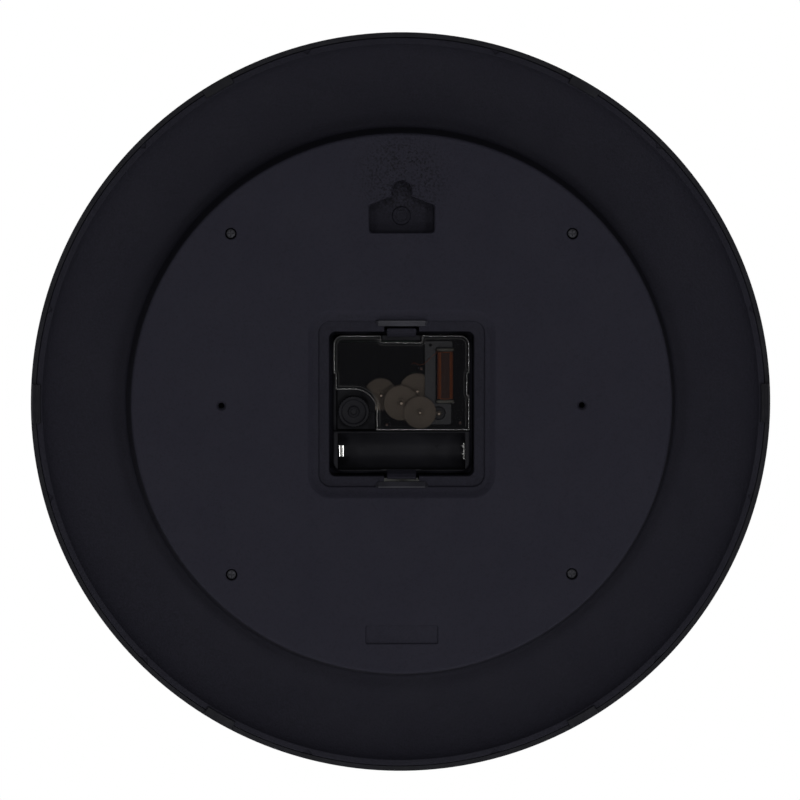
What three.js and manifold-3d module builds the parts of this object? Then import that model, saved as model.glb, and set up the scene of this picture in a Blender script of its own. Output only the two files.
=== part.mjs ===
// A 12 inch round quartz wall clock: moulded rear case, push-fit bezel, lens, dial, hands and a 56 mm movement.
// Millimetres, +Z up. The dial faces -Y and the flat back that meets the wall faces +Y. The hand shaft lies
// on the Y axis, and the origin is on that shaft halfway between the front of the bezel and the back.

import * as THREE from 'three';
import { mergeVertices } from 'three/addons/utils/BufferGeometryUtils.js';
import Module from 'manifold-3d';

const wasm = await Module();
wasm.setup();

// ---------------------------------------------------------------- driving dimensions

const GAP = 0.3; // clearance where two pieces meet

// case
const CLOCK_RADIUS = 152.5;
const BACK = 22;
const FRONT = -22;
const SHELL = 2.2;
const PANEL_RADIUS = 94.5; // the one-piece moulding is split here, and round the well and the hanger box
const PLATEAU_RADIUS = 111;
const PLATEAU_ROUND = 1.2;
const WALL_FOOT_RADIUS = 113.5;
const WALL_FOOT_RISE = 1;
const TROUGH_RADIUS = 116;
const TROUGH_FLOOR = 4.5;
const TROUGH_BOWL = 120;
const TROUGH_TURN = 80;
const LIP_TOP = 14;
const LIP_INNER = 147.8;
const LIP_OUTER = 150.2;
const SKIRT_END = 2;
const LIP_NOTCHES = 12;
const LIP_NOTCH_ANGLE = 2.5;
const LIP_NOTCH_DEPTH = 1.2;

// window over the movement, and the well that holds it
const WINDOW_STEPS = [
  { side: 76, corner: 9, floor: 21.1 },
  { side: 72, corner: 7, floor: 20.2 },
  { side: 68, corner: 5.5, floor: 18.8 },
];
const WINDOW_LEDGE = 18.8;
const WELL_SIDE = 59.5;
const WELL_CORNER = 2.5;
const WELL_WALL = 2;
const WELL_FLOOR = 0.2;
const WELL_FRONT = -1.6;
const SHAFT_HOLE = 4.2;

// spring clips at the top and bottom of the well
const CLIP_HALF = 6;
const CLIP_SLOT_HALF = 7.2;
const CLIP_TOP = 18.4;
const CLIP_CATCH = 13.4;
const CLIP_REACH = 27.4;
const CLIP_THICK = 1.3;
const CLIP_SLOT_DEEP = 1.5;
const CLIP_GUARD_HALF = 10.7;
const CLIP_GUARD_NEAR = 2.3;
const CLIP_GUARD_FAR = 34.4;
const CLIP_GUARD_TOP = 21.2;

// hanging pocket
const KEY_NECK_HALF = 3.85;
const KEY_HALF = 13.2;
const KEY_TOP = 91.7;
const KEY_SHOULDER = 81.6;
const KEY_BOTTOM = 70.5;
const KEY_SHOULDER_RISE = 3.7;
const KEY_FLOOR = 13;
const KEY_FLOOR_THICK = 1.8;
const KEY_BOSS = { z: 77.2, radius: 3.7, height: 1 };

// back details
const SCREW_OFFSET = 70;
const SCREW_BOSS_RADIUS = 3.6;
const SCREW_BOSS_FRONT = 9.5;
const SCREW_HEAD_RADIUS = 2;
const SCREW_HEAD_BACK = 21.1;
const SCREW_HEAD_FRONT = 19;
const SCREW_SHANK_RADIUS = 0.95;
const SCREW_END = 3.6;
const SCREW_CROSS = { half: 1.1, slotHalf: 0.25, depth: 0.8 };
const PIN_HOLE = { x: 74, z: -0.5, radius: 1.45 };
const LABEL = { half: 14.8, low: -98.7, high: -91.3, depth: 0.9 };

// bezel, lens and dial
const BEZEL_BACK = 13.6;
const BEZEL_BORE = 150.6;
const BEZEL_WEB_OUTER = 152.2;
const HOOKS = [30, 90, 150, 210, 270, 330];
const HOOK_WIDTH = 13;
const SIDE_HOOK_WIDTH = 16;
const HOOK_INNER = 148.4;
const HOOK_THICK = 1.1;
const HOOK_WEB_DEEP = 2;
const LENS_RADIUS = 131.3;
const LENS_BACK = -13.6;
const LENS_FRONT = -15.6;
const LENS_SEAT = 131.9;
const SIGHT_RADIUS = 128.6;
const SPACER_INNER = 128.2;
const DIAL_PLATE = { radius: 136, front: -3.6, back: -1.9 };
const DIAL_FACE = { radius: 130, front: -4.2, back: -3.9 };
const DIAL_HOLE = 4.4;
const DIAL_POST_RADIUS = 3.2;

// movement
const MOVEMENT_SIDE = 56;
const MOVEMENT_CORNER = 4;
const BASE_FRONT = 0.5;
const BASE_FLOOR = 1.9;
const BASE_WALL = 1.2;
const BASE_WALL_TOP = 9;
const BAY_WALL_Z = -11.5;
const BAY_TOP = 15.9;
const BAY_HALF = 26.3;
const BAY_NEAR = -12.2;
const BAY_FAR = -27.3;
const CELL_AXIS = { y: 9.2, z: -19.75, radius: 7.55 };
const COVER_TOP = 16.2;
const COVER_WALL = 1.2;
const COVER_SKIRT = 9.3;
const COVER_EDGE_Z = -11.1;
const COVER_NOTCH = { half: 8.4, z: 25.3 };
const SIDE_NOTCH = { depth: 0.8, low: 3.5, high: 12.4 };
const SETTING_POCKET = 9.3;
const ARBOR = 0.45;
const ARBOR_FRONT = 1.5;
const ARBOR_BACK = 15.3;
const SOCKET = 0.85;
const SETTING_STEM = 1.2;
const KNOB = {
  radius: 6.6, ribs: 24, ribDepth: 0.05, front: 8.2,
  back: 12.4, dish: 3.9, dishFloor: 11.2, peg: 1.6,
};
const MIDDLE_UPPER = { xLow: -9.2, xHigh: 26.4, zLow: 6.6, zHigh: 25, front: 7.1, back: 9 };
const MIDDLE_LOWER = { xLow: 10.6, xHigh: 26.4, zLow: -11.1, zHigh: 8, front: 6.4, back: 7.6 };
const WHEEL_SCALLOP = 8;
const BUSHING = { inner: 3, outer: 3.9, front: -7.2 };
const BOARD = { xLow: -6.2, xHigh: 25.5, zLow: 11.8, zHigh: 25.3, front: 3.6, back: 4.6 };
const CHIP = { x: 9.5, z: 17.5, half: 2.5, back: 5.9 };
const CRYSTAL = { y: 5.85, z: 22, radius: 0.95, xLow: 12, xHigh: 18 };
const COIL = { x: -18.2, y: 9.6, low: 1.5, high: 21.1, radius: 3.3, flange: 3.6, flangeThick: 1.2 };
const BOBBIN_TUBE = { halfX: 2, halfY: 1.3, boreX: 1.7, boreY: 0.85 };
const CORE = { halfX: 1.4, halfY: 0.5 };
const STATOR = {
  left: -21.2, foot: -20.7, inner: -14.2, waist: -10.4,
  right: -9.8, low: -9, front: 9.1, back: 10.1,
};
const STATOR_BORE = 2.9;
const CONTACT = { x: 26, front: 3.8, back: 14.8, thick: 0.5 };
const NEGATIVE = { offset: 0.15, half: 2.3, slotHalf: 0.4, bend: 23.6, tip: 21.6, tipY: 9.6 };
const POSITIVE = { half: 3.5, ridgeOffset: 0.5, ridgeSpread: 1.65, ridgeRadius: 0.8, ridgeFront: 6 };

// gear train: centres [x, z], tooth counts and layers [front, back]
const CENTRE = [0, 0];
const MINUTE_WORK = [8.37, 3.19];
const THIRD = [-6.6, 4.9];
const INTERMEDIATE = [-7.7, -3.9];
const ROTOR = [-15.5, -4.3];
const SETTING = [19.6, -3.6];
const LAYER = {
  hour: [2.2, 3.2],
  minute: [4.2, 5.2],
  centre: [6.2, 7.0],
  third: [8.0, 8.8],
  second: [9.8, 10.6],
  rotor: [11.6, 12.4],
};
const ADDENDUM = 0.7;
const DEDENDUM = 0.95;

// hands, set to 10:09:36
const REST_MINUTES = 9.6;
const REST_HOURS = 10 + REST_MINUTES / 60;
const REST_SECONDS = 36;
const HOUR_HAND = {
  front: -9, back: -8.6, hub: 6.5, bore: 3,
  outline: [[2.6, -16], [3.6, 8], [4.6, 56], [0.6, 76]],
};
const MINUTE_HAND = {
  front: -10.7, back: -10.3, hub: 5, bore: 2,
  outline: [[2, -20], [2.6, 8], [3.4, 92], [0.5, 112]],
};
const SECOND_HAND = {
  front: -12.3, back: -12, hub: 3.2, bore: 0.85,
  outline: [[1, -34], [0.9, 20], [0.5, 110]],
};
const SECOND_WEIGHT = { z: -27, radius: 4.5 };
const HAND_CAP = { radius: 2.2, front: -13.1, back: -12.6 };

// facet counts
const LARGE_SIDES = 40;
const ROUND_SIDES = 20;
const MEDIUM_SIDES = 16;
const SMALL_SIDES = 8;

// ---------------------------------------------------------------- solids

function closed(geometry) {
  const flat = geometry.index ? geometry.toNonIndexed() : geometry.clone();
  flat.deleteAttribute('normal');
  flat.deleteAttribute('uv');
  const merged = mergeVertices(flat, 1e-4);
  const position = merged.attributes.position;
  const triangles = [];
  const a = new THREE.Vector3();
  const b = new THREE.Vector3();
  const c = new THREE.Vector3();
  let volume = 0;
  for (let i = 0; i < merged.index.count; i += 3) {
    const [p, q, r] = [0, 1, 2].map((k) => merged.index.getX(i + k));
    if (p === q || q === r || r === p) continue;
    triangles.push([p, q, r]);
    a.fromBufferAttribute(position, p);
    b.fromBufferAttribute(position, q);
    c.fromBufferAttribute(position, r);
    volume += a.dot(b.cross(c));
  }
  const outward = volume > 0 ? triangles : triangles.map(([p, q, r]) => [p, r, q]);
  return new wasm.Manifold(new wasm.Mesh({
    numProp: 3,
    vertProperties: new Float32Array(position.array),
    triVerts: new Uint32Array(outward.flat()),
  }));
}

function join(solids) {
  return solids.reduce((sum, next) => sum.add(next));
}

function cut(solid, tools) {
  return tools.reduce((rest, tool) => rest.subtract(tool), solid);
}

function block(xLow, xHigh, yLow, yHigh, zLow, zHigh) {
  const geometry = new THREE.BoxGeometry(xHigh - xLow, yHigh - yLow, zHigh - zLow);
  geometry.translate((xLow + xHigh) / 2, (yLow + yHigh) / 2, (zLow + zHigh) / 2);
  return closed(geometry);
}

function rod([x, z], radius, yLow, yHigh, sides = ROUND_SIDES) {
  const geometry = new THREE.CylinderGeometry(radius, radius, yHigh - yLow, sides);
  return closed(geometry.translate(x, (yLow + yHigh) / 2, z));
}

function turned(profile, sides = LARGE_SIDES) {
  const points = profile.map(([radius, y]) => new THREE.Vector2(radius, y));
  return closed(new THREE.LatheGeometry(points, sides));
}

function ring(inner, outer, yLow, yHigh, sides = LARGE_SIDES) {
  return turned([[inner, yLow], [outer, yLow], [outer, yHigh], [inner, yHigh], [inner, yLow]], sides);
}

function outline(points) {
  return new THREE.Shape(points.map(([u, v]) => new THREE.Vector2(u, v)));
}

// A flat outline in X and Z, thickened along Y.
function plate(shape, yLow, yHigh, curveSegments = 2) {
  const options = { depth: yHigh - yLow, bevelEnabled: false, curveSegments };
  const geometry = new THREE.ExtrudeGeometry(shape, options);
  return closed(geometry.rotateX(Math.PI / 2).translate(0, yHigh, 0));
}

// An outline of [y, z] points, drawn out along X.
function bar(points, xLow, xHigh) {
  const shape = outline(points.map(([y, z]) => [-z, y]));
  const geometry = new THREE.ExtrudeGeometry(shape, { depth: xHigh - xLow, bevelEnabled: false });
  return closed(geometry.rotateY(Math.PI / 2).translate(xLow, 0, 0));
}

// An outline of [x, y] points, drawn out along Z.
function strip(points, zLow, zHigh) {
  const geometry = new THREE.ExtrudeGeometry(outline(points), { depth: zHigh - zLow, bevelEnabled: false });
  return closed(geometry.translate(0, 0, zLow));
}

function circlePoints([u, v], radius, sides) {
  return Array.from({ length: sides }, (_, i) => {
    const angle = ((i + 0.5) * 2 * Math.PI) / sides;
    return [u + radius * Math.cos(angle), v + radius * Math.sin(angle)];
  });
}

function roundedSquare(side, corner) {
  const h = side / 2;
  const c = h - corner;
  const shape = new THREE.Shape();
  shape.moveTo(h, -c);
  shape.absarc(c, c, corner, 0, Math.PI / 2);
  shape.absarc(-c, c, corner, Math.PI / 2, Math.PI);
  shape.absarc(-c, -c, corner, Math.PI, 1.5 * Math.PI);
  shape.absarc(c, -c, corner, 1.5 * Math.PI, 2 * Math.PI);
  return shape;
}

// A piece of a ring, centred on an angle measured clockwise from the top as seen from the front.
function sector(inner, outer, degrees, halfDegrees, yLow, yHigh) {
  const at = (radius, angle) => [radius * Math.sin(angle), radius * Math.cos(angle)];
  const angles = [-1, -0.5, 0, 0.5, 1].map((k) => THREE.MathUtils.degToRad(degrees + k * halfDegrees));
  const far = angles.map((angle) => at(outer, angle));
  const near = angles.map((angle) => at(inner, angle)).reverse();
  return plate(outline([...far, ...near]), yLow, yHigh);
}

// ---------------------------------------------------------------- gears

function gear([x, z], teeth, module, phase, [yLow, yHigh]) {
  const pitchRadius = (teeth * module) / 2;
  const points = [];
  for (let i = 0; i < teeth; i += 1) {
    const tip = phase + (i * 2 * Math.PI) / teeth;
    const root = tip + Math.PI / teeth;
    const tipRadius = pitchRadius + ADDENDUM * module;
    const rootRadius = pitchRadius - DEDENDUM * module;
    points.push([x + tipRadius * Math.cos(tip), z + tipRadius * Math.sin(tip)]);
    points.push([x + rootRadius * Math.cos(root), z + rootRadius * Math.sin(root)]);
  }
  return plate(outline(points), yLow, yHigh);
}

// The phase that puts a gap of the driven gear opposite a tooth of the driver.
function meshedPhase(driver, driverTeeth, driverPhase, driven, drivenTeeth) {
  const towards = Math.atan2(driven[1] - driver[1], driven[0] - driver[0]);
  const driverPitch = (2 * Math.PI) / driverTeeth;
  const drivenPitch = (2 * Math.PI) / drivenTeeth;
  const offset = (driverPhase - towards) / driverPitch;
  return towards + Math.PI + drivenPitch / 2 - offset * drivenPitch;
}

// The module that makes two gears fill the distance between their centres.
function moduleFor(a, teethA, b, teethB) {
  return (2 * Math.hypot(b[0] - a[0], b[1] - a[1])) / (teethA + teethB);
}

function arbor(centre) {
  return rod(centre, ARBOR, ARBOR_FRONT, ARBOR_BACK, SMALL_SIDES);
}

const ROTOR_PAIR = moduleFor(ROTOR, 10, INTERMEDIATE, 60);
const INTERMEDIATE_PAIR = moduleFor(INTERMEDIATE, 10, CENTRE, 50);
const THIRD_PAIR = moduleFor(CENTRE, 8, THIRD, 60);
const CENTRE_PAIR = moduleFor(THIRD, 8, CENTRE, 64);
const MINUTE_PAIR = moduleFor(CENTRE, 14, MINUTE_WORK, 42);
const HOUR_PAIR = moduleFor(MINUTE_WORK, 10, CENTRE, 40);

function rotorPinion() {
  const hub = rod(ROTOR, 0.9, 8.2, LAYER.rotor[0], SMALL_SIDES);
  return join([arbor(ROTOR), hub, gear(ROTOR, 10, ROTOR_PAIR, 0, LAYER.rotor)]);
}

function rotorMagnet() {
  return cut(rod(ROTOR, 2.5, 8.4, 10.8), [rod(ROTOR, 1.2, 8, 11, SMALL_SIDES)]);
}

function intermediateWheel() {
  const phase = meshedPhase(ROTOR, 10, 0, INTERMEDIATE, 60);
  const wheel = gear(INTERMEDIATE, 60, ROTOR_PAIR, phase, LAYER.rotor);
  const hub = rod(INTERMEDIATE, 0.8, LAYER.second[0], LAYER.rotor[0], SMALL_SIDES);
  return join([arbor(INTERMEDIATE), wheel, hub, gear(INTERMEDIATE, 10, INTERMEDIATE_PAIR, 0, LAYER.second)]);
}

function secondsWheel() {
  const phase = meshedPhase(INTERMEDIATE, 10, 0, CENTRE, 50);
  const wheel = gear(CENTRE, 50, INTERMEDIATE_PAIR, phase, LAYER.second);
  const pinion = gear(CENTRE, 8, THIRD_PAIR, 0, LAYER.third);
  return join([rod(CENTRE, 0.55, SECOND_HAND.front, ARBOR_BACK, SMALL_SIDES), wheel, pinion]);
}

function thirdWheel() {
  const phase = meshedPhase(CENTRE, 8, 0, THIRD, 60);
  const wheel = gear(THIRD, 60, THIRD_PAIR, phase, LAYER.third);
  return join([arbor(THIRD), wheel, gear(THIRD, 8, CENTRE_PAIR, 0, LAYER.centre)]);
}

function centreWheel() {
  const phase = meshedPhase(THIRD, 8, 0, CENTRE, 64);
  const wheel = gear(CENTRE, 64, CENTRE_PAIR, phase, LAYER.centre);
  const collar = rod(CENTRE, 1.9, LAYER.centre[0], LAYER.third[0] - 0.4, ROUND_SIDES);
  return cut(join([wheel, collar]), [rod(CENTRE, 0.9, 5, 9, SMALL_SIDES)]);
}

function cannonPinion() {
  const tube = rod(CENTRE, 1.7, -11, LAYER.centre[0] - GAP);
  const pinion = gear(CENTRE, 14, MINUTE_PAIR, 0, LAYER.minute);
  return cut(join([tube, pinion]), [rod(CENTRE, 0.9, -12, 7, SMALL_SIDES)]);
}

const MINUTE_WORK_PHASE = meshedPhase(CENTRE, 14, 0, MINUTE_WORK, 42);

function minuteWorkWheel() {
  const wheel = gear(MINUTE_WORK, 42, MINUTE_PAIR, MINUTE_WORK_PHASE, LAYER.minute);
  const hub = rod(MINUTE_WORK, 1.2, LAYER.hour[0], LAYER.minute[0], SMALL_SIDES);
  return join([arbor(MINUTE_WORK), wheel, hub, gear(MINUTE_WORK, 10, HOUR_PAIR, 0, LAYER.hour)]);
}

function hourWheel() {
  const phase = meshedPhase(MINUTE_WORK, 10, 0, CENTRE, 40);
  const wheel = gear(CENTRE, 40, HOUR_PAIR, phase, LAYER.hour);
  const pipe = rod(CENTRE, 2.7, -9.3, LAYER.hour[1] + 0.4);
  return cut(join([wheel, pipe]), [rod(CENTRE, 2, -10, 5)]);
}

function settingGear() {
  const phase = meshedPhase(MINUTE_WORK, 42, MINUTE_WORK_PHASE, SETTING, 40);
  const collar = rod(SETTING, 2.4, LAYER.minute[0] - 1, LAYER.minute[0], SMALL_SIDES);
  const wheel = gear(SETTING, 40, MINUTE_PAIR, phase, LAYER.minute);
  return cut(join([wheel, collar]), [rod(SETTING, SETTING_STEM + GAP, 3, 6, SMALL_SIDES)]);
}

function settingKnob() {
  const points = circlePoints(SETTING, KNOB.radius, 2 * KNOB.ribs).map(([x, z], i) => {
    const reach = i % 2 ? 1 : 1 - KNOB.ribDepth;
    return [SETTING[0] + (x - SETTING[0]) * reach, SETTING[1] + (z - SETTING[1]) * reach];
  });
  const grip = plate(outline(points), KNOB.front, KNOB.back);
  const stem = rod(SETTING, SETTING_STEM, ARBOR_FRONT, KNOB.front + 1, SMALL_SIDES);
  const dish = rod(SETTING, KNOB.dish, KNOB.dishFloor, KNOB.back + 1);
  const peg = rod(SETTING, KNOB.peg, KNOB.dishFloor - 0.2, KNOB.back - 0.2, SMALL_SIDES);
  return join([cut(grip, [dish]), stem, peg]);
}

// ---------------------------------------------------------------- case and front

// The trough's floor is flat beside the plateau, then curves up to the lip as part of an ellipse.
function caseShell() {
  const steps = 6;
  const end = THREE.MathUtils.degToRad(TROUGH_TURN);
  const bowl = Array.from({ length: steps + 1 }, (_, i) => {
    const angle = (end * i) / steps;
    const across = Math.sin(angle) / Math.sin(end);
    const rise = (1 - Math.cos(angle)) / (1 - Math.cos(end));
    return [TROUGH_BOWL + (LIP_INNER - TROUGH_BOWL) * across, TROUGH_FLOOR + (LIP_TOP - TROUGH_FLOOR) * rise];
  });
  const trough = [[TROUGH_RADIUS, TROUGH_FLOOR], ...bowl];
  const underTrough = trough.slice(0, -1).reverse().map(([radius, y]) => [radius, y - SHELL]);
  return turned([
    [0, BACK],
    [PLATEAU_RADIUS - PLATEAU_ROUND, BACK],
    [PLATEAU_RADIUS - 0.3 * PLATEAU_ROUND, BACK - 0.3 * PLATEAU_ROUND],
    [PLATEAU_RADIUS, BACK - PLATEAU_ROUND],
    [WALL_FOOT_RADIUS, TROUGH_FLOOR + WALL_FOOT_RISE],
    ...trough,
    [LIP_OUTER, LIP_TOP],
    [LIP_OUTER, SKIRT_END],
    [LIP_OUTER - SHELL, SKIRT_END],
    [LIP_OUTER - SHELL, LIP_TOP - SHELL],
    ...underTrough,
    [WALL_FOOT_RADIUS - SHELL, TROUGH_FLOOR + WALL_FOOT_RISE - SHELL],
    [PLATEAU_RADIUS - SHELL, BACK - SHELL],
    [0, BACK - SHELL],
  ]);
}

function screwPlaces() {
  return [[1, 1], [-1, 1], [-1, -1], [1, -1]].map(([x, z]) => [x * SCREW_OFFSET, z * SCREW_OFFSET]);
}

function keyholeOutline() {
  const shape = new THREE.Shape();
  shape.moveTo(-KEY_HALF, KEY_BOTTOM);
  shape.lineTo(KEY_HALF, KEY_BOTTOM);
  shape.lineTo(KEY_HALF, KEY_SHOULDER);
  shape.lineTo(KEY_NECK_HALF, KEY_SHOULDER + KEY_SHOULDER_RISE);
  shape.absarc(0, KEY_TOP - KEY_NECK_HALF, KEY_NECK_HALF, 0, Math.PI);
  shape.lineTo(-KEY_NECK_HALF, KEY_SHOULDER + KEY_SHOULDER_RISE);
  shape.lineTo(-KEY_HALF, KEY_SHOULDER);
  return shape;
}

// One spring arm with its catch, and the guard rib behind it; side is 1 at the top and -1 at the bottom.
function clip(side) {
  const inner = WELL_SIDE / 2;
  const mirrored = (points) => points.map(([y, z]) => [y, z * side]);
  const arm = bar(mirrored([
    [-1, inner],
    [-1, inner + CLIP_THICK],
    [CLIP_TOP, inner + CLIP_THICK],
    [CLIP_TOP, inner + 0.5],
    [CLIP_TOP - 1, inner - 0.8],
    [CLIP_CATCH + 1.2, CLIP_REACH],
    [CLIP_CATCH, CLIP_REACH],
    [CLIP_CATCH, inner],
  ]), -CLIP_HALF, CLIP_HALF);
  const guard = bar(mirrored([
    [WINDOW_LEDGE - 1, inner + CLIP_GUARD_NEAR],
    [WINDOW_LEDGE - 1, CLIP_GUARD_FAR],
    [CLIP_GUARD_TOP, CLIP_GUARD_FAR],
    [CLIP_GUARD_TOP, CLIP_GUARD_FAR - 0.8],
    [CLIP_GUARD_TOP - 1.8, inner + CLIP_GUARD_NEAR],
  ]), -CLIP_GUARD_HALF, CLIP_GUARD_HALF);
  return join([arm, guard]);
}

function clipSlot(side) {
  const near = (WELL_SIDE / 2 - 0.3) * side;
  const far = (WELL_SIDE / 2 + CLIP_GUARD_NEAR) * side;
  return block(-CLIP_SLOT_HALF, CLIP_SLOT_HALF, CLIP_SLOT_DEEP, BACK, Math.min(near, far), Math.max(near, far));
}

// Everything cut into the back of the moulding, whichever of its four nodes it reaches.
function caseCuts() {
  const cuts = WINDOW_STEPS.map(({ side, corner, floor }) => (
    plate(roundedSquare(side, corner), floor, BACK + 1)
  ));
  cuts.push(plate(roundedSquare(WELL_SIDE, WELL_CORNER), WELL_FLOOR, BACK + 1));
  cuts.push(rod(CENTRE, SHAFT_HOLE, WELL_FRONT - 1, WELL_FLOOR + 1));
  cuts.push(block(-KEY_HALF, KEY_HALF, KEY_FLOOR, BACK - SHELL, KEY_BOTTOM, KEY_TOP));
  cuts.push(plate(keyholeOutline(), KEY_FLOOR, BACK + 1, 4));
  cuts.push(block(-LABEL.half, LABEL.half, BACK - LABEL.depth, BACK + 1, LABEL.low, LABEL.high));
  for (const place of screwPlaces()) {
    cuts.push(rod(place, SCREW_HEAD_RADIUS + 0.5, SCREW_HEAD_FRONT - GAP, BACK + 1, MEDIUM_SIDES));
    cuts.push(rod(place, SCREW_SHANK_RADIUS + 0.4, SCREW_BOSS_FRONT - 1, BACK, SMALL_SIDES));
  }
  for (const side of [1, -1]) {
    cuts.push(rod([side * PIN_HOLE.x, PIN_HOLE.z], PIN_HOLE.radius, BACK - SHELL - 1, BACK + 1, SMALL_SIDES));
    cuts.push(clipSlot(side));
  }
  return cuts;
}

function lipNotches() {
  const half = THREE.MathUtils.degToRad(LIP_NOTCH_ANGLE / 2);
  const at = (radius, angle) => [radius * Math.sin(angle), radius * Math.cos(angle)];
  return Array.from({ length: LIP_NOTCHES }, (_, i) => {
    const middle = THREE.MathUtils.degToRad(15 + (i * 360) / LIP_NOTCHES);
    const near = at(LIP_INNER + 0.5, middle);
    const far = [middle + half, middle - half].map((angle) => at(LIP_OUTER + 1, angle));
    return plate(outline([near, ...far]), LIP_TOP - LIP_NOTCH_DEPTH, LIP_TOP + 1);
  });
}

// The plateau's rim, its side wall, the trough and the lip, with the four screw bosses.
function rearCase() {
  const middle = rod(CENTRE, PANEL_RADIUS, BACK - SHELL - 1, BACK + 1, LARGE_SIDES);
  const bosses = screwPlaces().map((place) => (
    rod(place, SCREW_BOSS_RADIUS, SCREW_BOSS_FRONT, BACK - 1, MEDIUM_SIDES)
  ));
  return cut(join([cut(caseShell(), [middle]), ...bosses]), [...caseCuts(), ...lipNotches()]);
}

// The flat middle of the plateau, round the well's frame and over the hanger box.
function backPanel() {
  const panel = rod(CENTRE, PANEL_RADIUS - GAP, BACK - SHELL, BACK, LARGE_SIDES);
  const { side, corner } = WINDOW_STEPS[0];
  const wellRoom = plate(roundedSquare(side + 2 * SHELL + 2 * GAP, corner + SHELL), BACK - SHELL - 1, BACK + 1);
  return cut(panel, [wellRoom, ...caseCuts()]);
}

// The stepped frame of the window, and the well with its spring clips.
function movementWell() {
  const { side, corner } = WINDOW_STEPS[0];
  const frame = plate(roundedSquare(side + 2 * SHELL, corner + SHELL), WINDOW_LEDGE - SHELL, BACK);
  const wellOutline = roundedSquare(WELL_SIDE + 2 * WELL_WALL, WELL_CORNER + WELL_WALL);
  const well = plate(wellOutline, WELL_FRONT, WINDOW_LEDGE);
  return join([cut(join([frame, well]), caseCuts()), clip(1), clip(-1)]);
}

// The pocket behind the keyhole.
function hangerBox() {
  const box = block(
    -KEY_HALF - SHELL, KEY_HALF + SHELL, KEY_FLOOR - KEY_FLOOR_THICK, BACK - SHELL - GAP,
    KEY_BOTTOM - SHELL, KEY_TOP + SHELL,
  );
  const bossTop = KEY_FLOOR + KEY_BOSS.height;
  const nailBoss = rod([0, KEY_BOSS.z], KEY_BOSS.radius, KEY_FLOOR - 0.5, bossTop, MEDIUM_SIDES);
  return join([cut(box, caseCuts()), nailBoss]);
}

function bezel() {
  const shell = turned([
    [CLOCK_RADIUS, BEZEL_BACK],
    [CLOCK_RADIUS - 1.2, -10],
    [CLOCK_RADIUS - 4, -18],
    [CLOCK_RADIUS - 9, FRONT],
    [CLOCK_RADIUS - 14, FRONT + 0.9],
    [SIGHT_RADIUS, LENS_FRONT - 1.2],
    [SIGHT_RADIUS, LENS_FRONT - GAP],
    [LENS_SEAT, LENS_FRONT - GAP],
    [LENS_SEAT, LENS_BACK + 0.6],
    [LENS_SEAT + 1.6, LENS_BACK + 0.6],
    [LENS_SEAT + 3, FRONT + 6.6],
    [CLOCK_RADIUS - 14, FRONT + 3.2],
    [CLOCK_RADIUS - 9, FRONT + 2.4],
    [CLOCK_RADIUS - 6, -17],
    [BEZEL_BORE - 1, -8],
    [BEZEL_BORE, 0.5],
    [BEZEL_BORE, BEZEL_BACK],
    [CLOCK_RADIUS, BEZEL_BACK],
  ]);
  const hooks = HOOKS.flatMap((degrees) => {
    const width = degrees % 180 === 90 ? SIDE_HOOK_WIDTH : HOOK_WIDTH;
    const half = THREE.MathUtils.radToDeg(width / 2 / LIP_OUTER);
    const seat = LIP_TOP + GAP;
    const finger = sector(HOOK_INNER, BEZEL_WEB_OUTER, degrees, half, seat, seat + HOOK_THICK);
    const webLow = BEZEL_BACK - HOOK_WEB_DEEP;
    const web = sector(BEZEL_BORE + 0.2, BEZEL_WEB_OUTER, degrees, half, webLow, seat + 0.5);
    return [finger, web];
  });
  return join([shell, ...hooks]);
}

function dialPlate() {
  const disc = rod(CENTRE, DIAL_PLATE.radius, DIAL_PLATE.front, DIAL_PLATE.back, LARGE_SIDES);
  const posts = screwPlaces().map((place) => (
    rod(place, DIAL_POST_RADIUS, DIAL_PLATE.back - 0.5, SCREW_BOSS_FRONT - GAP, MEDIUM_SIDES)
  ));
  const pilots = screwPlaces().map((place) => (
    rod(place, SCREW_SHANK_RADIUS + GAP, SCREW_END - 0.6, SCREW_BOSS_FRONT + 1, SMALL_SIDES)
  ));
  const shaftHole = rod(CENTRE, DIAL_HOLE, DIAL_PLATE.front - 1, DIAL_PLATE.back + 1);
  return cut(join([disc, ...posts]), [shaftHole, ...pilots]);
}

function dialFace() {
  const disc = rod(CENTRE, DIAL_FACE.radius, DIAL_FACE.front, DIAL_FACE.back, LARGE_SIDES);
  return cut(disc, [rod(CENTRE, DIAL_HOLE, DIAL_FACE.front - 1, DIAL_FACE.back + 1)]);
}

function caseScrew(place) {
  const head = rod(place, SCREW_HEAD_RADIUS, SCREW_HEAD_FRONT, SCREW_HEAD_BACK, MEDIUM_SIDES);
  const shank = rod(place, SCREW_SHANK_RADIUS, SCREW_END, SCREW_HEAD_FRONT + 0.5, SMALL_SIDES);
  const [x, z] = place;
  const top = SCREW_HEAD_BACK + 1;
  const floor = SCREW_HEAD_BACK - SCREW_CROSS.depth;
  const { half, slotHalf } = SCREW_CROSS;
  const cross = [
    block(x - half, x + half, floor, top, z - slotHalf, z + slotHalf),
    block(x - slotHalf, x + slotHalf, floor, top, z - half, z + half),
  ];
  return cut(join([head, shank]), cross);
}

// ---------------------------------------------------------------- movement

// Posts on the base's floor: three reach the cover, and the others stop under the board or the middle plate.
const POSTS = [
  { place: [-8.2, 14.2], radius: 1.2, top: 14.4 },
  { place: [6, -8.9], radius: 1.5, top: 14.4 },
  { place: [-24.2, -8.1], radius: 1.3, top: 14.4 },
  { place: [22, 23], radius: 1.2, top: 3.3 },
  { place: [-4, 23], radius: 1.2, top: 3.3 },
  { place: [24.6, 9.4], radius: 1.2, top: 6.8 },
  { place: [12.4, -9.9], radius: 1, top: 6.1 },
];

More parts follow.
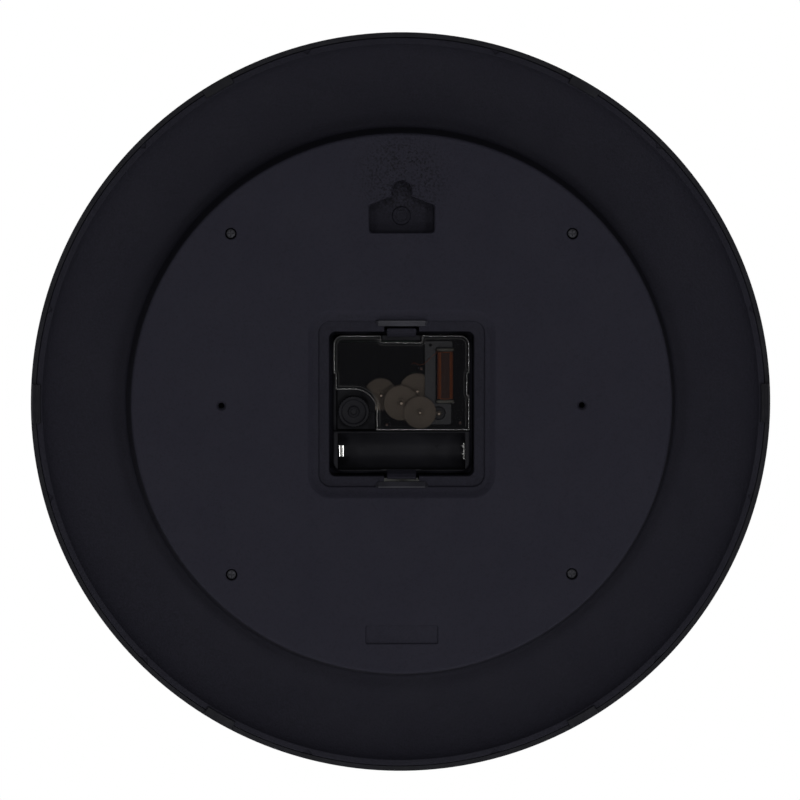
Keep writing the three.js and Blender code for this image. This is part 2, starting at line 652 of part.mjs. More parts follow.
function movementBase() {
  const inner = MOVEMENT_SIDE - 2 * BASE_WALL;
  const half = MOVEMENT_SIDE / 2;
  const tray = plate(roundedSquare(MOVEMENT_SIDE, MOVEMENT_CORNER), BASE_FRONT, BASE_WALL_TOP);
  const hollow = plate(roundedSquare(inner, MOVEMENT_CORNER - BASE_WALL), BASE_FLOOR, BASE_WALL_TOP + 1);
  const column = plate(roundedSquare(MOVEMENT_SIDE, MOVEMENT_CORNER), BASE_FRONT, BAY_TOP);
  const bay = column.intersect(block(-half, half, BASE_FRONT, BAY_TOP, -half, BAY_WALL_Z));
  const catchBlock = block(
    -COVER_NOTCH.half + 0.4, COVER_NOTCH.half - 0.4, BASE_FRONT, CLIP_CATCH - GAP, COVER_NOTCH.z + 0.4, half,
  );
  const posts = POSTS.map(({ place, radius, top }) => rod(place, radius, BASE_FLOOR - 0.5, top, SMALL_SIDES));
  const sockets = [MINUTE_WORK, THIRD, INTERMEDIATE, ROTOR].map((place) => (
    rod(place, SOCKET, ARBOR_FRONT - GAP, BASE_FLOOR + 1, SMALL_SIDES)
  ));
  return cut(join([cut(tray, [hollow]), bay, catchBlock, ...posts]), [
    block(-BAY_HALF, BAY_HALF, CELL_AXIS.y, BAY_TOP + 1, BAY_FAR, BAY_NEAR),
    bar(circlePoints([CELL_AXIS.y, CELL_AXIS.z], CELL_AXIS.radius, ROUND_SIDES), -BAY_HALF, BAY_HALF),
    block(-COVER_NOTCH.half, COVER_NOTCH.half, CLIP_CATCH - GAP, BAY_TOP + 1, -half - 1, BAY_FAR + 0.1),
    rod(CENTRE, SHAFT_HOLE, BASE_FRONT - 1, BASE_FLOOR + 1),
    rod(SETTING, SETTING_STEM + 0.4, ARBOR_FRONT - GAP, BASE_FLOOR + 1, SMALL_SIDES),
    ...sockets,
  ]);
}

// The cover's outline, or with an inset the hollow inside it, which is open along the battery bay.
function coverOutline(inset) {
  const h = MOVEMENT_SIDE / 2 - inset;
  const bayEdge = inset > 0 ? COVER_EDGE_Z - 1 : COVER_EDGE_Z;
  const corner = MOVEMENT_CORNER - inset;
  const sideNotch = h - SIDE_NOTCH.depth;
  const shape = new THREE.Shape();
  shape.moveTo(-h, bayEdge);
  shape.lineTo(SETTING[0] - SETTING_POCKET - inset, bayEdge);
  shape.absarc(SETTING[0], SETTING[1], SETTING_POCKET + inset, Math.PI, Math.PI / 2, true);
  shape.lineTo(sideNotch, SETTING[1] + SETTING_POCKET + inset);
  shape.lineTo(sideNotch, SIDE_NOTCH.high + inset);
  shape.lineTo(h, SIDE_NOTCH.high + inset);
  shape.absarc(h - corner, h - corner, corner, 0, Math.PI / 2);
  shape.lineTo(COVER_NOTCH.half + inset, h);
  shape.lineTo(COVER_NOTCH.half + inset, COVER_NOTCH.z - inset);
  shape.lineTo(-COVER_NOTCH.half - inset, COVER_NOTCH.z - inset);
  shape.lineTo(-COVER_NOTCH.half - inset, h);
  shape.absarc(corner - h, h - corner, corner, Math.PI / 2, Math.PI);
  shape.lineTo(-h, SIDE_NOTCH.high + inset);
  shape.lineTo(-sideNotch, SIDE_NOTCH.high + inset);
  shape.lineTo(-sideNotch, SIDE_NOTCH.low - inset);
  shape.lineTo(-h, SIDE_NOTCH.low - inset);
  return shape;
}

function movementCover() {
  const ceiling = COVER_TOP - COVER_WALL - 0.2;
  const sockets = [CENTRE, MINUTE_WORK, THIRD, INTERMEDIATE, ROTOR].map((place) => (
    rod(place, SOCKET, ceiling - 1, ARBOR_BACK + GAP, SMALL_SIDES)
  ));
  return cut(plate(coverOutline(0), COVER_SKIRT, COVER_TOP), [
    plate(coverOutline(COVER_WALL), COVER_SKIRT - 1, ceiling),
    ...sockets,
  ]);
}

// Two overlapping levels, with scallops round the wheels, a notch round a post and a hole for the setting stem.
function middlePlate() {
  const level = ({ xLow, xHigh, zLow, zHigh, front, back }) => block(xLow, xHigh, front, back, zLow, zHigh);
  const { xLow, zHigh, front, back } = MIDDLE_LOWER;
  const pocket = rod(SETTING, SETTING_POCKET - GAP, front - 1, back + 1);
  const corner = block(xLow, 16, front - 1, back + 1, SETTING[1], zHigh).subtract(pocket);
  const top = MIDDLE_UPPER.back + 1;
  const [postX, postZ] = POSTS[0].place;
  const postRoom = POSTS[0].radius + 0.5;
  return cut(join([level(MIDDLE_UPPER), cut(level(MIDDLE_LOWER), [corner])]), [
    rod(SETTING, SETTING_STEM + 0.5, front - 1, top, SMALL_SIDES),
    rod(MINUTE_WORK, WHEEL_SCALLOP, MIDDLE_UPPER.front - 0.2, top),
    rod(THIRD, WHEEL_SCALLOP, MIDDLE_UPPER.front - 0.2, top),
    rod(CENTRE, WHEEL_SCALLOP + 0.1, front - 1, top),
    block(MIDDLE_UPPER.xLow - 1, postX + postRoom, MIDDLE_UPPER.front - 0.2, top, 10, postZ + postRoom),
  ]);
}

function coilBobbin() {
  const { x, y, low, high, flange, flangeThick } = COIL;
  const ends = [[low - GAP - flangeThick, low - GAP], [high + GAP, high + GAP + flangeThick]];
  const flanges = ends.map(([zLow, zHigh]) => (
    block(x - flange, x + flange, y - flange, y + flange, zLow, zHigh)
  ));
  const { halfX, halfY, boreX, boreY } = BOBBIN_TUBE;
  const tube = block(x - halfX, x + halfX, y - halfY, y + halfY, ends[0][0], ends[1][1]);
  const bore = block(x - boreX, x + boreX, y - boreY, y + boreY, ends[0][0] - 1, ends[1][1] + 1);
  return cut(join([...flanges, tube]), [bore]);
}

function coilWinding() {
  const { x, y, low, high, radius } = COIL;
  const acrossX = BOBBIN_TUBE.halfX + 0.2;
  const acrossY = BOBBIN_TUBE.halfY + 0.2;
  const bore = block(x - acrossX, x + acrossX, y - acrossY, y + acrossY, low - 1, high + 1);
  return cut(strip(circlePoints([x, y], radius, MEDIUM_SIDES), low, high), [bore]);
}

function coilCore() {
  const { x, y, low, high, flangeThick } = COIL;
  const { halfX, halfY } = CORE;
  return block(x - halfX, x + halfX, y - halfY, y + halfY, low - GAP - flangeThick, high + GAP + flangeThick);
}

function stator() {
  const { left, foot, inner, waist, right, low, front, back } = STATOR;
  const bottom = COIL.low - 2 * GAP - COIL.flangeThick;
  const top = COIL.high + 2 * GAP + COIL.flangeThick;
  const shape = outline([
    [foot, low],
    [waist, low],
    [waist, -2.2],
    [right, -1.2],
    [right, top + 2.5],
    [left, top + 2.5],
    [left, top],
    [inner, top],
    [inner, bottom],
    [foot, bottom],
  ]);
  return cut(plate(shape, front, back), [rod(ROTOR, STATOR_BORE, front - 0.1, back + 1)]);
}

// A strip that folds back over itself at the top and ends in two spring fingers.
function negativeContact() {
  const { x, front, back } = CONTACT;
  const { half, slotHalf, bend, tip, tipY } = NEGATIVE;
  const middle = CELL_AXIS.z + NEGATIVE.offset;
  const leaf = strip([
    [x, front],
    [x, back],
    [bend, back],
    [tip, tipY],
    [tip + 0.4, tipY - 0.2],
    [bend + 0.3, back - 0.4],
    [x - 0.4, back - 0.4],
    [x - 0.4, front],
  ], middle - half, middle + half);
  return cut(leaf, [block(tip - 0.6, bend, tipY - 0.6, back + 1, middle - slotHalf, middle + slotHalf)]);
}

// A flat strip with two upright ridges.
function positiveContact() {
  const { x, front, back, thick } = CONTACT;
  const { half, ridgeOffset, ridgeSpread, ridgeRadius, ridgeFront } = POSITIVE;
  const backing = block(-x, thick - x, front, back, CELL_AXIS.z - half, CELL_AXIS.z + half);
  const inFront = block(-x + 0.2, 2 - x, ridgeFront - 1, back + 1, CELL_AXIS.z - 10, CELL_AXIS.z + 10);
  const ridges = [ridgeSpread, -ridgeSpread].map((offset) => {
    const place = [thick - x, CELL_AXIS.z + ridgeOffset + offset];
    return rod(place, ridgeRadius, ridgeFront, back, SMALL_SIDES).intersect(inFront);
  });
  return join([backing, ...ridges]);
}

function circuitBoard() {
  const { xLow, xHigh, zLow, zHigh, front, back } = BOARD;
  return block(xLow, xHigh, front, back, zLow, zHigh);
}

function circuitChip() {
  const { x, z, half, back } = CHIP;
  return block(x - half, x + half, BOARD.back + GAP, back, z - half, z + half);
}

function crystal() {
  const { y, z, radius, xLow, xHigh } = CRYSTAL;
  return bar(circlePoints([y, z], radius, SMALL_SIDES), xLow, xHigh);
}

// ---------------------------------------------------------------- hands

// A flat hand pointing up, from the [half width, z] stations of its outline, turned to its place on the dial.
function hand({ front, back, hub, bore, outline: stations }, degrees, extras = []) {
  const left = stations.map(([half, z]) => [-half, z]).reverse();
  const blade = plate(outline([...stations, ...left]), front, back);
  const eye = rod(CENTRE, hub, front, back);
  const solid = cut(join([blade, eye, ...extras]), [rod(CENTRE, bore, front - 1, back + 1)]);
  return solid.rotate([0, degrees, 0]);
}

function secondHand() {
  const weight = rod([0, SECOND_WEIGHT.z], SECOND_WEIGHT.radius, SECOND_HAND.front, SECOND_HAND.back);
  return hand(SECOND_HAND, REST_SECONDS * 6, [weight]);
}

// ---------------------------------------------------------------- assembly

const clock = new THREE.Group();
clock.name = 'wall_clock';

const finish = (color, roughness, metalness = 0, opacity = 1) => (
  new THREE.MeshStandardMaterial({ color, roughness, metalness, opacity, transparent: opacity < 1 })
);
const BLACK_CASE = finish(0x1d1e24, 0.6);
const BLACK_GLOSS = finish(0x141518, 0.35);
const CLEAR = finish(0xe8eef2, 0.08, 0, 0.3);
const CREAM = finish(0xd9c9b0, 0.5);
const WHITE = finish(0xf2f1ec, 0.7);
const STEEL = finish(0xc9ccd0, 0.3, 1);
const BRASS = finish(0xc9a14f, 0.35, 1);
const COPPER = finish(0xc96a32, 0.4, 0.8);
const GREEN_BOARD = finish(0x2c5a3c, 0.6);
const DARK_MAGNET = finish(0x3a3a3e, 0.5, 0.6);
const BLACK_HAND = finish(0x101012, 0.4);
const RED_HAND = finish(0xb22a22, 0.4);

function add(name, solid, material) {
  const mesh = solid.getMesh();
  const geometry = new THREE.BufferGeometry();
  geometry.setAttribute('position', new THREE.BufferAttribute(mesh.vertProperties, 3));
  geometry.setIndex(new THREE.BufferAttribute(mesh.triVerts, 1));
  geometry.computeVertexNormals();
  const node = new THREE.Mesh(geometry, material);
  node.name = name;
  clock.add(node);
}

add('rear_case', rearCase(), BLACK_CASE);
add('back_panel', backPanel(), BLACK_CASE);
add('movement_well', movementWell(), BLACK_CASE);
add('hanger_box', hangerBox(), BLACK_CASE);
add('front_bezel', bezel(), BLACK_GLOSS);
add('lens', rod(CENTRE, LENS_RADIUS, LENS_FRONT, LENS_BACK, LARGE_SIDES), CLEAR);
add('spacer_ring', ring(SPACER_INNER, LENS_RADIUS, LENS_BACK + GAP, DIAL_FACE.front - GAP), WHITE);
add('dial_plate', dialPlate(), WHITE);
add('dial_face', dialFace(), WHITE);
screwPlaces().forEach((place, i) => add(`case_screw_${i + 1}`, caseScrew(place), STEEL));

add('movement_base', movementBase(), BLACK_CASE);
add('movement_cover', movementCover(), CLEAR);
add('middle_plate', middlePlate(), BLACK_CASE);
add('shaft_bushing', ring(BUSHING.inner, BUSHING.outer, BUSHING.front, BASE_FLOOR - GAP, ROUND_SIDES), BRASS);
add('circuit_board', circuitBoard(), GREEN_BOARD);
add('circuit_chip', circuitChip(), BLACK_GLOSS);
add('quartz_crystal', crystal(), STEEL);
add('coil_bobbin', coilBobbin(), WHITE);
add('coil_winding', coilWinding(), COPPER);
add('coil_core', coilCore(), STEEL);
add('stator', stator(), STEEL);
add('battery_contact_negative', negativeContact(), STEEL);
add('battery_contact_positive', positiveContact(), STEEL);

add('rotor_magnet', rotorMagnet(), DARK_MAGNET);
add('rotor_pinion', rotorPinion(), CREAM);
add('intermediate_wheel', intermediateWheel(), CREAM);
add('seconds_wheel', secondsWheel(), CREAM);
add('third_wheel', thirdWheel(), CREAM);
add('centre_wheel', centreWheel(), CREAM);
add('cannon_pinion', cannonPinion(), CREAM);
add('minute_work_wheel', minuteWorkWheel(), CREAM);
add('hour_wheel', hourWheel(), CREAM);
add('setting_gear', settingGear(), CREAM);
add('setting_knob', settingKnob(), BLACK_CASE);

add('hour_hand', hand(HOUR_HAND, REST_HOURS * 30), BLACK_HAND);
add('minute_hand', hand(MINUTE_HAND, REST_MINUTES * 6), BLACK_HAND);
add('second_hand', secondHand(), RED_HAND);
add('second_hand_cap', rod(CENTRE, HAND_CAP.radius, HAND_CAP.front, HAND_CAP.back), RED_HAND);

export default clock;
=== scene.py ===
"""A round quartz wall clock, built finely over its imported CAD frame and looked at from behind.

Every length here is in millimetres in the clock's own frame (+Y out of the flat back, -Y out of the dial,
+Z up, the hand shaft on the Y axis) and is turned into Blender's metres by MM where a mesh is made.
"""

import math

import bmesh
import bpy
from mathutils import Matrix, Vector


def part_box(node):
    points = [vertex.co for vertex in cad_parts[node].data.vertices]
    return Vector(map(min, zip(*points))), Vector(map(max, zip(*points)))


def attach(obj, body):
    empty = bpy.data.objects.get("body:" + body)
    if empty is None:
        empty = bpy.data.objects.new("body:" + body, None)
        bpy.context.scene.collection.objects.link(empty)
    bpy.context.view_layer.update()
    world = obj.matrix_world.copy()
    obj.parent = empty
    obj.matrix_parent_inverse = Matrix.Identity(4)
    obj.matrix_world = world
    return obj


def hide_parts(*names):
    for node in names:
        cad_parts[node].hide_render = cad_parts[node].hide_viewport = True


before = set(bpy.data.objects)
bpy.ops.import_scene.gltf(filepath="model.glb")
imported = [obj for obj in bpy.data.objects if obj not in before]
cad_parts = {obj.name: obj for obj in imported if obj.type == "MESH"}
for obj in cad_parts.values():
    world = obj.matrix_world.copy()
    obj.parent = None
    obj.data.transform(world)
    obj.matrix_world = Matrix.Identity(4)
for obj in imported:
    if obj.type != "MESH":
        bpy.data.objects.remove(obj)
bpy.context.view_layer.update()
MM = 0.001


def extent(node, axis):
    """A CAD node's lowest and highest place along an axis, in millimetres."""
    low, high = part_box(node)
    return low[axis] / MM, high[axis] / MM


X, Y, Z = 0, 1, 2

# ------------------------------------------------------------------ sizes taken from the frame

BACK = extent("rear_case", Y)[1]
FRONT = extent("front_bezel", Y)[0]
CLOCK_RADIUS = extent("front_bezel", X)[1]
LIP_OUTER = extent("rear_case", X)[1]
LENS_RADIUS = extent("lens", X)[1]
LENS_FRONT, LENS_BACK = extent("lens", Y)
SPACER_FRONT, SPACER_BACK = extent("spacer_ring", Y)
DIAL_RADIUS = extent("dial_face", X)[1]
DIAL_FRONT, DIAL_BACK = extent("dial_face", Y)
PLATE_RADIUS = extent("dial_plate", X)[1]
PLATE_FRONT, POST_TOP = extent("dial_plate", Y)
BASE_HALF = extent("movement_base", X)[1]
BASE_FRONT, BAY_TOP = extent("movement_base", Y)
COVER_SKIRT, COVER_TOP = extent("movement_cover", Y)

# ------------------------------------------------------------------ sizes chosen here

ROUND = 240  # points round the big turned pieces
SHELL = 2.2
PLATEAU_RADIUS = 111
WALL_FOOT = 113.7
TROUGH_FLOOR = 4.5
TROUGH_BOWL = 120
TROUGH_TURN = 80
LIP_INNER = 147.8
LIP_TOP = 14
BEZEL_BORE = 150.35
SKIRT_END = 2
WELL_HALF = 29.75
WELL_FLOOR = 0.2
LEDGE = 18.8
SCREW_OFFSET = 70
CLIP_CATCH = 13.4
PIN_HOLE = (74, -0.5)
SUNK_PATCH = {"z": 93, "near": 10, "far": 24}
KEY_HALF, KEY_NECK = 13.2, 3.85
KEY_LOW, KEY_SHOULDER, KEY_WAIST, KEY_HIGH = 70.5, 81.6, 85.3, 91.7
KEY_FLOOR = 13

CENTRE = (0, 0)
MINUTE_WORK = (8.37, 3.19)
THIRD = (-6.6, 4.9)
INTERMEDIATE = (-7.7, -3.9)
ROTOR = (-15.5, -4.3)
SETTING = (19.6, -3.6)


# ------------------------------------------------------------------ outlines

def arc_steps(corners):
    """How many steps each corner's arc gets."""
    steps = []
    for _, _, radius in corners:
        steps.append(0 if radius == 0 else 4 if radius < 1.5 else 8 if radius < 6 else 20)
    return steps


def rounded(corners, steps=None, closed=True):
    """The points of a polyline of (a, b, radius) corners, each corner turned into an arc."""
    steps = steps or arc_steps(corners)
    points = []
    last = len(corners) - 1
    for i, (a, b, radius) in enumerate(corners):
        corner = Vector((a, b))
        if steps[i] == 0 or (not closed and i in (0, last)):
            points.append((a, b))
            continue
        before = (Vector(corners[i - 1][:2]) - corner).normalized()
        after = (Vector(corners[(i + 1) % len(corners)][:2]) - corner).normalized()
        half = before.angle(after) / 2
        start = before * radius / math.tan(half)
        end = after * radius / math.tan(half)
        middle = (before + after).normalized() * radius / math.sin(half)
        first = math.atan2(start.y - middle.y, start.x - middle.x)
        turn = math.atan2(end.y - middle.y, end.x - middle.x) - first
        turn = (turn + math.pi) % (2 * math.pi) - math.pi
        for k in range(steps[i] + 1):
            angle = first + turn * k / steps[i]
            points.append((a + middle.x + radius * math.cos(angle), b + middle.y + radius * math.sin(angle)))
    return points


def inset(corners, depth):
    """The closed outline of (a, b, radius) corners moved inwards by depth, or outwards if it is negative."""
    count = len(corners)
    area = sum(
        corners[i - 1][0] * corners[i][1] - corners[i][0] * corners[i - 1][1] for i in range(count)
    )
    side = 1 if area > 0 else -1
    moved = []
    for i, (a, b, radius) in enumerate(corners):
        into = (Vector((a, b)) - Vector(corners[i - 1][:2])).normalized()
        out = (Vector(corners[(i + 1) % count][:2]) - Vector((a, b))).normalized()
        bend = side * (into.x * out.y - into.y * out.x)
        normal = Vector((-into.y, into.x)) + Vector((-out.y, out.x))
        normal = normal.normalized() * side
        stretch = 1 / max(0.3, normal.dot(Vector((-into.y, into.x)) * side))
        new_radius = radius and max(0.02, radius - depth if bend > 0 else radius + depth)
        moved.append((a + normal.x * depth * stretch, b + normal.y * depth * stretch, new_radius))
    return moved


def mirrored(right):
    """A closed outline from the corners of its right side, mirrored across the middle."""
    return right + [(-a, b, radius) for a, b, radius in reversed(right)]


def washer(inner, outer, low, high, inside, outside):
    """A flat ring's section as (radius, y, rounding) corners."""
    return [(inner, low, inside), (outer, low, outside), (outer, high, outside), (inner, high, inside)]


def square(half, corner, centre=CENTRE, half_b=None):
    """A rectangle's four rounded corners."""
    a, b = centre
    tall = half if half_b is None else half_b
    return [
        (a + half, b + tall, corner), (a + half, b - tall, corner),
        (a - half, b - tall, corner), (a - half, b + tall, corner),
    ]


# ------------------------------------------------------------------ shapes: (vertices, faces)

def loft(rings, closed=False):
    """Skins rings of equal length, in order, and caps the two ends or joins them to each other."""
    count = len(rings[0])
    verts = [point for ring in rings for point in ring]
    faces = []
    for i in range(len(rings) if closed else len(rings) - 1):
        a = i * count
        b = ((i + 1) % len(rings)) * count
        for j in range(count):
            k = (j + 1) % count
            faces.append((a + j, a + k, b + k, b + j))
    if not closed:
        faces.append(tuple(range(count)))
        faces.append(tuple(range((len(rings) - 1) * count, len(rings) * count)))
    return verts, faces


def circle(radius, y, centre=CENTRE, count=ROUND):
    """A ring of points round an axis along Y."""
    turns = [2 * math.pi * (i + 0.5) / count for i in range(count)]
    return [(centre[0] + radius * math.sin(t), y, centre[1] + radius * math.cos(t)) for t in turns]


def turned(profile, centre=CENTRE, count=ROUND, closed=False):
    """A turned solid from its (radius, y) profile."""
    return loft([circle(radius, y, centre, count) for radius, y in profile], closed)


def rod(centre, radius, low, high, bevel=0.1, count=32):
    """A round bar along Y with bevelled ends."""
    profile = [(radius - bevel, low), (radius, low + bevel), (radius, high - bevel), (radius - bevel, high)]
    return turned(profile, centre, count)


def stack(corners, levels):
    """An outline stacked up along Y; levels are (y, inset)."""
    steps = arc_steps(corners)
    rings = []
    for y, depth in levels:
        points = rounded(inset(corners, depth) if depth else corners, steps)
        rings.append([(a, y, b) for a, b in points])
    return loft(rings)


def slab(corners, low, high, bevel=0.2):
    """An outline in X and Z thickened along Y, with bevelled edges."""
    return stack(corners, [(low, bevel), (low + bevel, 0), (high - bevel, 0), (high, bevel)])


def swapped(shape, order):
    """A shape with its axes exchanged, to stand a slab along X or Z."""
    verts, faces = shape
    return [tuple(v[k] for k in order) for v in verts], faces


def bar_x(corners, low, high, bevel=0.2):
    """A slab whose (y, z) outline runs along X."""
    return swapped(slab(corners, low, high, bevel), (1, 0, 2))


def bar_z(corners, low, high, bevel=0.2):
    """A slab whose (x, y) outline runs along Z."""
    return swapped(slab(corners, low, high, bevel), (0, 2, 1))


def box(x, y, z, bevel=0.15):
    """A bevelled block between pairs of limits."""
    corners = [(x[0], z[0], bevel), (x[1], z[0], bevel), (x[1], z[1], bevel), (x[0], z[1], bevel)]
    return slab(corners, y[0], y[1], bevel)


# ------------------------------------------------------------------ objects

def placed(name, data):
    """An object in the scene that holds a mesh, a curve, a text, a camera or a light."""
    made = bpy.data.objects.new(name, data)
    bpy.context.scene.collection.objects.link(made)
    return made


def raw_object(name, shapes):
    """An object holding shapes, in metres, with its faces pointing out."""
    verts = []
    faces = []
    for shape_verts, shape_faces in shapes:
        offset = len(verts)
        verts.extend(tuple(c * MM for c in v) for v in shape_verts)
        faces.extend(tuple(i + offset for i in face) for face in shape_faces)
    mesh = bpy.data.meshes.new(name)
    mesh.from_pydata(verts, [], faces)
    edit = bmesh.new()
    edit.from_mesh(mesh)
    bmesh.ops.recalc_face_normals(edit, faces=edit.faces)
    edit.to_mesh(mesh)
    edit.free()
    return placed(name, mesh)


def combine(target, shapes, operation):
    """Adds shapes to target, or cuts them from it, and keeps the result as its mesh."""
    for shape in shapes:
        tool = raw_object("tool", [shape])
        change = target.modifiers.new("combine", "BOOLEAN")
        change.operation = operation
        change.solver = "MANIFOLD"
        change.object = tool
        graph = bpy.context.evaluated_depsgraph_get()
        result = bpy.data.meshes.new_from_object(target.evaluated_get(graph))
        target.modifiers.clear()
        target.data = result
        bpy.data.objects.remove(tool)
    return target


def joined(name, shapes, cuts=()):
    """One object from shapes joined together, less the cuts."""
    made = raw_object(name, shapes[:1])
    combine(made, shapes[1:], "UNION")
    return combine(made, cuts, "DIFFERENCE")


def piece(made, material, body="case", nodes=(), crease=32):
    """Finishes an object: smooth shading up to the crease angle, material, body and CAD nodes."""
    mesh = made.data
    mesh.materials.clear()
    mesh.materials.append(material)
    mesh.shade_smooth()
    mesh.set_sharp_from_angle(angle=math.radians(crease))
    weighted = made.modifiers.new("normals", "WEIGHTED_NORMAL")
    weighted.keep_sharp = True
    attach(made, body)
    if nodes:
        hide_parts(*nodes)
    return made


# ------------------------------------------------------------------ materials

def new_material(name, color, roughness, metallic=0.0, **sockets):
    """A principled material with plain values, and handles to its nodes."""
    material = bpy.data.materials.new(name)
    material.use_nodes = True
    shader = material.node_tree.nodes["Principled BSDF"]
    shader.inputs["Base Color"].default_value = (*color, 1)
    shader.inputs["Roughness"].default_value = roughness
    shader.inputs["Metallic"].default_value = metallic
    for key, value in sockets.items():
        shader.inputs[key.replace("_", " ")].default_value = value
    return material, material.node_tree, shader


def noise(tree, scale, detail=2.0, vector=None):
    """A noise texture on object coordinates."""
    node = tree.nodes.new("ShaderNodeTexNoise")
    node.inputs["Scale"].default_value = scale
    node.inputs["Detail"].default_value = detail
    if vector is None:
        vector = tree.nodes.new("ShaderNodeTexCoord").outputs["Object"]
    tree.links.new(vector, node.inputs["Vector"])
    return node.outputs["Fac"]


def map_range(tree, value, start, end, low, high):
    """The node that brings a value from between start and end to between low and high."""
    node = tree.nodes.new("ShaderNodeMapRange")
    for socket, number in zip(("From Min", "From Max", "To Min", "To Max"), (start, end, low, high)):
        node.inputs[socket].default_value = number
    tree.links.new(value, node.inputs["Value"])
    return node


def ramped(tree, value, low, high):
    """A 0 to 1 value spread between two numbers."""
    return map_range(tree, value, 0.3, 0.7, low, high).outputs["Result"]


def tinted(tree, shader, value, dark, light):
    """Base colour running from dark to light with a value."""
    node = tree.nodes.new("ShaderNodeMix")
    node.data_type = "RGBA"
    node.inputs[6].default_value = (*dark, 1)
    node.inputs[7].default_value = (*light, 1)
    tree.links.new(value, node.inputs["Factor"])
    tree.links.new(node.outputs[2], shader.inputs["Base Color"])


def bumped(tree, shader, value, height, strength=1.0):
    """Surface relief of a height in millimetres."""
    node = tree.nodes.new("ShaderNodeBump")
    node.inputs["Distance"].default_value = height * MM
    node.inputs["Strength"].default_value = strength
    tree.links.new(value, node.inputs["Height"])
    tree.links.new(node.outputs["Normal"], shader.inputs["Normal"])
    return node


def moulded(name, color, roughness, grain=2200, height=0.03, spread=0.25, **sockets):
    """Moulded plastic: faint mottling in its colour and roughness, and a fine grain."""
    material, tree, shader = new_material(name, color, roughness, **sockets)
    dark = tuple(c * (1 - spread) for c in color)
    light = tuple(c * (1 + spread) for c in color)
    tinted(tree, shader, ramped(tree, noise(tree, 90, 4), 0, 1), dark, light)
    tree.links.new(
        ramped(tree, noise(tree, 240, 3), roughness - 0.06, roughness + 0.06), shader.inputs["Roughness"]
    )
    bumped(tree, shader, noise(tree, grain, 2), height)
    return material


def metal(name, color, roughness, stretch=(1, 1, 1), grain=1500, height=0.01):
    """Metal with a fine, possibly brushed, grain."""
    material, tree, shader = new_material(name, color, roughness, metallic=1.0)
    place = tree.nodes.new("ShaderNodeMapping")
    place.inputs["Scale"].default_value = stretch
    tree.links.new(tree.nodes.new("ShaderNodeTexCoord").outputs["Object"], place.inputs["Vector"])
    streaks = noise(tree, grain, 3, place.outputs["Vector"])
    tree.links.new(ramped(tree, streaks, roughness * 0.7, roughness * 1.35), shader.inputs["Roughness"])
    tinted(tree, shader, ramped(tree, streaks, 0, 1), tuple(c * 0.85 for c in color), color)
    bumped(tree, shader, streaks, height)
    return material


def falloff(tree, coordinates, centre, near, far):
    """1 within a distance of a place, fading to 0 further out; all in millimetres."""
    offset = tree.nodes.new("ShaderNodeVectorMath")
    offset.operation = "DISTANCE"
    offset.inputs[1].default_value = tuple(c * MM for c in centre)
    tree.links.new(coordinates, offset.inputs[0])
    fade = map_range(tree, offset.outputs["Value"], near * MM, far * MM, 1, 0)
    fade.interpolation_type = "SMOOTHSTEP"
    return fade.outputs["Result"]


def multiplied(tree, a, b):
    """The product of two values."""
    node = tree.nodes.new("ShaderNodeMath")
    node.operation = "MULTIPLY"
    tree.links.new(a, node.inputs[0])
    tree.links.new(b, node.inputs[1])
    return node.outputs[0]


def depth_fade(tree, coordinates, low, high, shade):
    """A painted shade factor: it falls from 1 at high to shade at low, two places along Y in millimetres."""
    parts = tree.nodes.new("ShaderNodeSeparateXYZ")
    tree.links.new(coordinates, parts.inputs[0])
    return map_range(tree, parts.outputs["Y"], low * MM, high * MM, shade, 1).outputs["Result"]


def case_material():
    """Textured black plastic: painted shade in the recesses, and painted shading where the skin has sunk.

    The recesses' painted shade is in the base colour, darker by depth along Y, on top of what the light
    gives.
    The skin near the keyhole has really sunk; its shading is painted into the base colour as a speckle.
    """
    color = (0.0132, 0.0128, 0.0202)
    material, tree, shader = new_material("case_black", color, 0.8, Specular_IOR_Level=0.12)
    coordinates = tree.nodes.new("ShaderNodeTexCoord").outputs["Object"]
    # Painted shade: the base colour darkens by depth along Y, to 0.68 of itself at the ledge and below.
    recess = depth_fade(tree, coordinates, LEDGE - 0.4, BACK - 0.4, 0.68)
    fleck = ramped(tree, noise(tree, 1300, 3), 0.76, 1.24)
    # The skin has really sunk near the keyhole; its shading is painted here as a strong light and dark
    # speckle.
    patch = falloff(tree, coordinates, (0, BACK, SUNK_PATCH["z"]), SUNK_PATCH["near"], SUNK_PATCH["far"])
    sunk_skin_painted_shading = map_range(tree, patch, 0, 1, 1, 1)
    tree.links.new(ramped(tree, noise(tree, 1100, 4), 0.2, 1.6), sunk_skin_painted_shading.inputs["To Max"])
    shade = multiplied(tree, multiplied(tree, recess, fleck), sunk_skin_painted_shading.outputs["Result"])
    tinted(tree, shader, shade, (0, 0, 0), color)
    tree.links.new(ramped(tree, noise(tree, 60, 4), 0.77, 0.84), shader.inputs["Roughness"])
    bumped(tree, shader, noise(tree, 1300, 3), 0.16, 1.0)
    return material


def clear_material(name, face_color, edge_highlight_color, face, edge):
    """Clear or smoked plastic; flat faces and cut edges have their own colour and opacity, the edges' a
    painted highlight.
    """
    material, tree, shader = new_material(name, face_color, 0.1, IOR=1.5)
    normal = tree.nodes.new("ShaderNodeNewGeometry").outputs["True Normal"]
    parts = tree.nodes.new("ShaderNodeSeparateXYZ")
    tree.links.new(normal, parts.inputs[0])
    flatness = tree.nodes.new("ShaderNodeMath")
    flatness.operation = "ABSOLUTE"
    tree.links.new(parts.outputs["Y"], flatness.inputs[0])
    # Painted highlight: faces turned away from Y take the edge colour and opacity.
    opacity = map_range(tree, flatness.outputs[0], 0.6, 0.98, edge, face)
    tree.links.new(opacity.outputs["Result"], shader.inputs["Alpha"])
    facing = map_range(tree, flatness.outputs[0], 0.6, 0.98, 0, 1)
    tinted(tree, shader, facing.outputs["Result"], edge_highlight_color, face_color)
    bumped(tree, shader, noise(tree, 25, 2), 0.02)
    return material


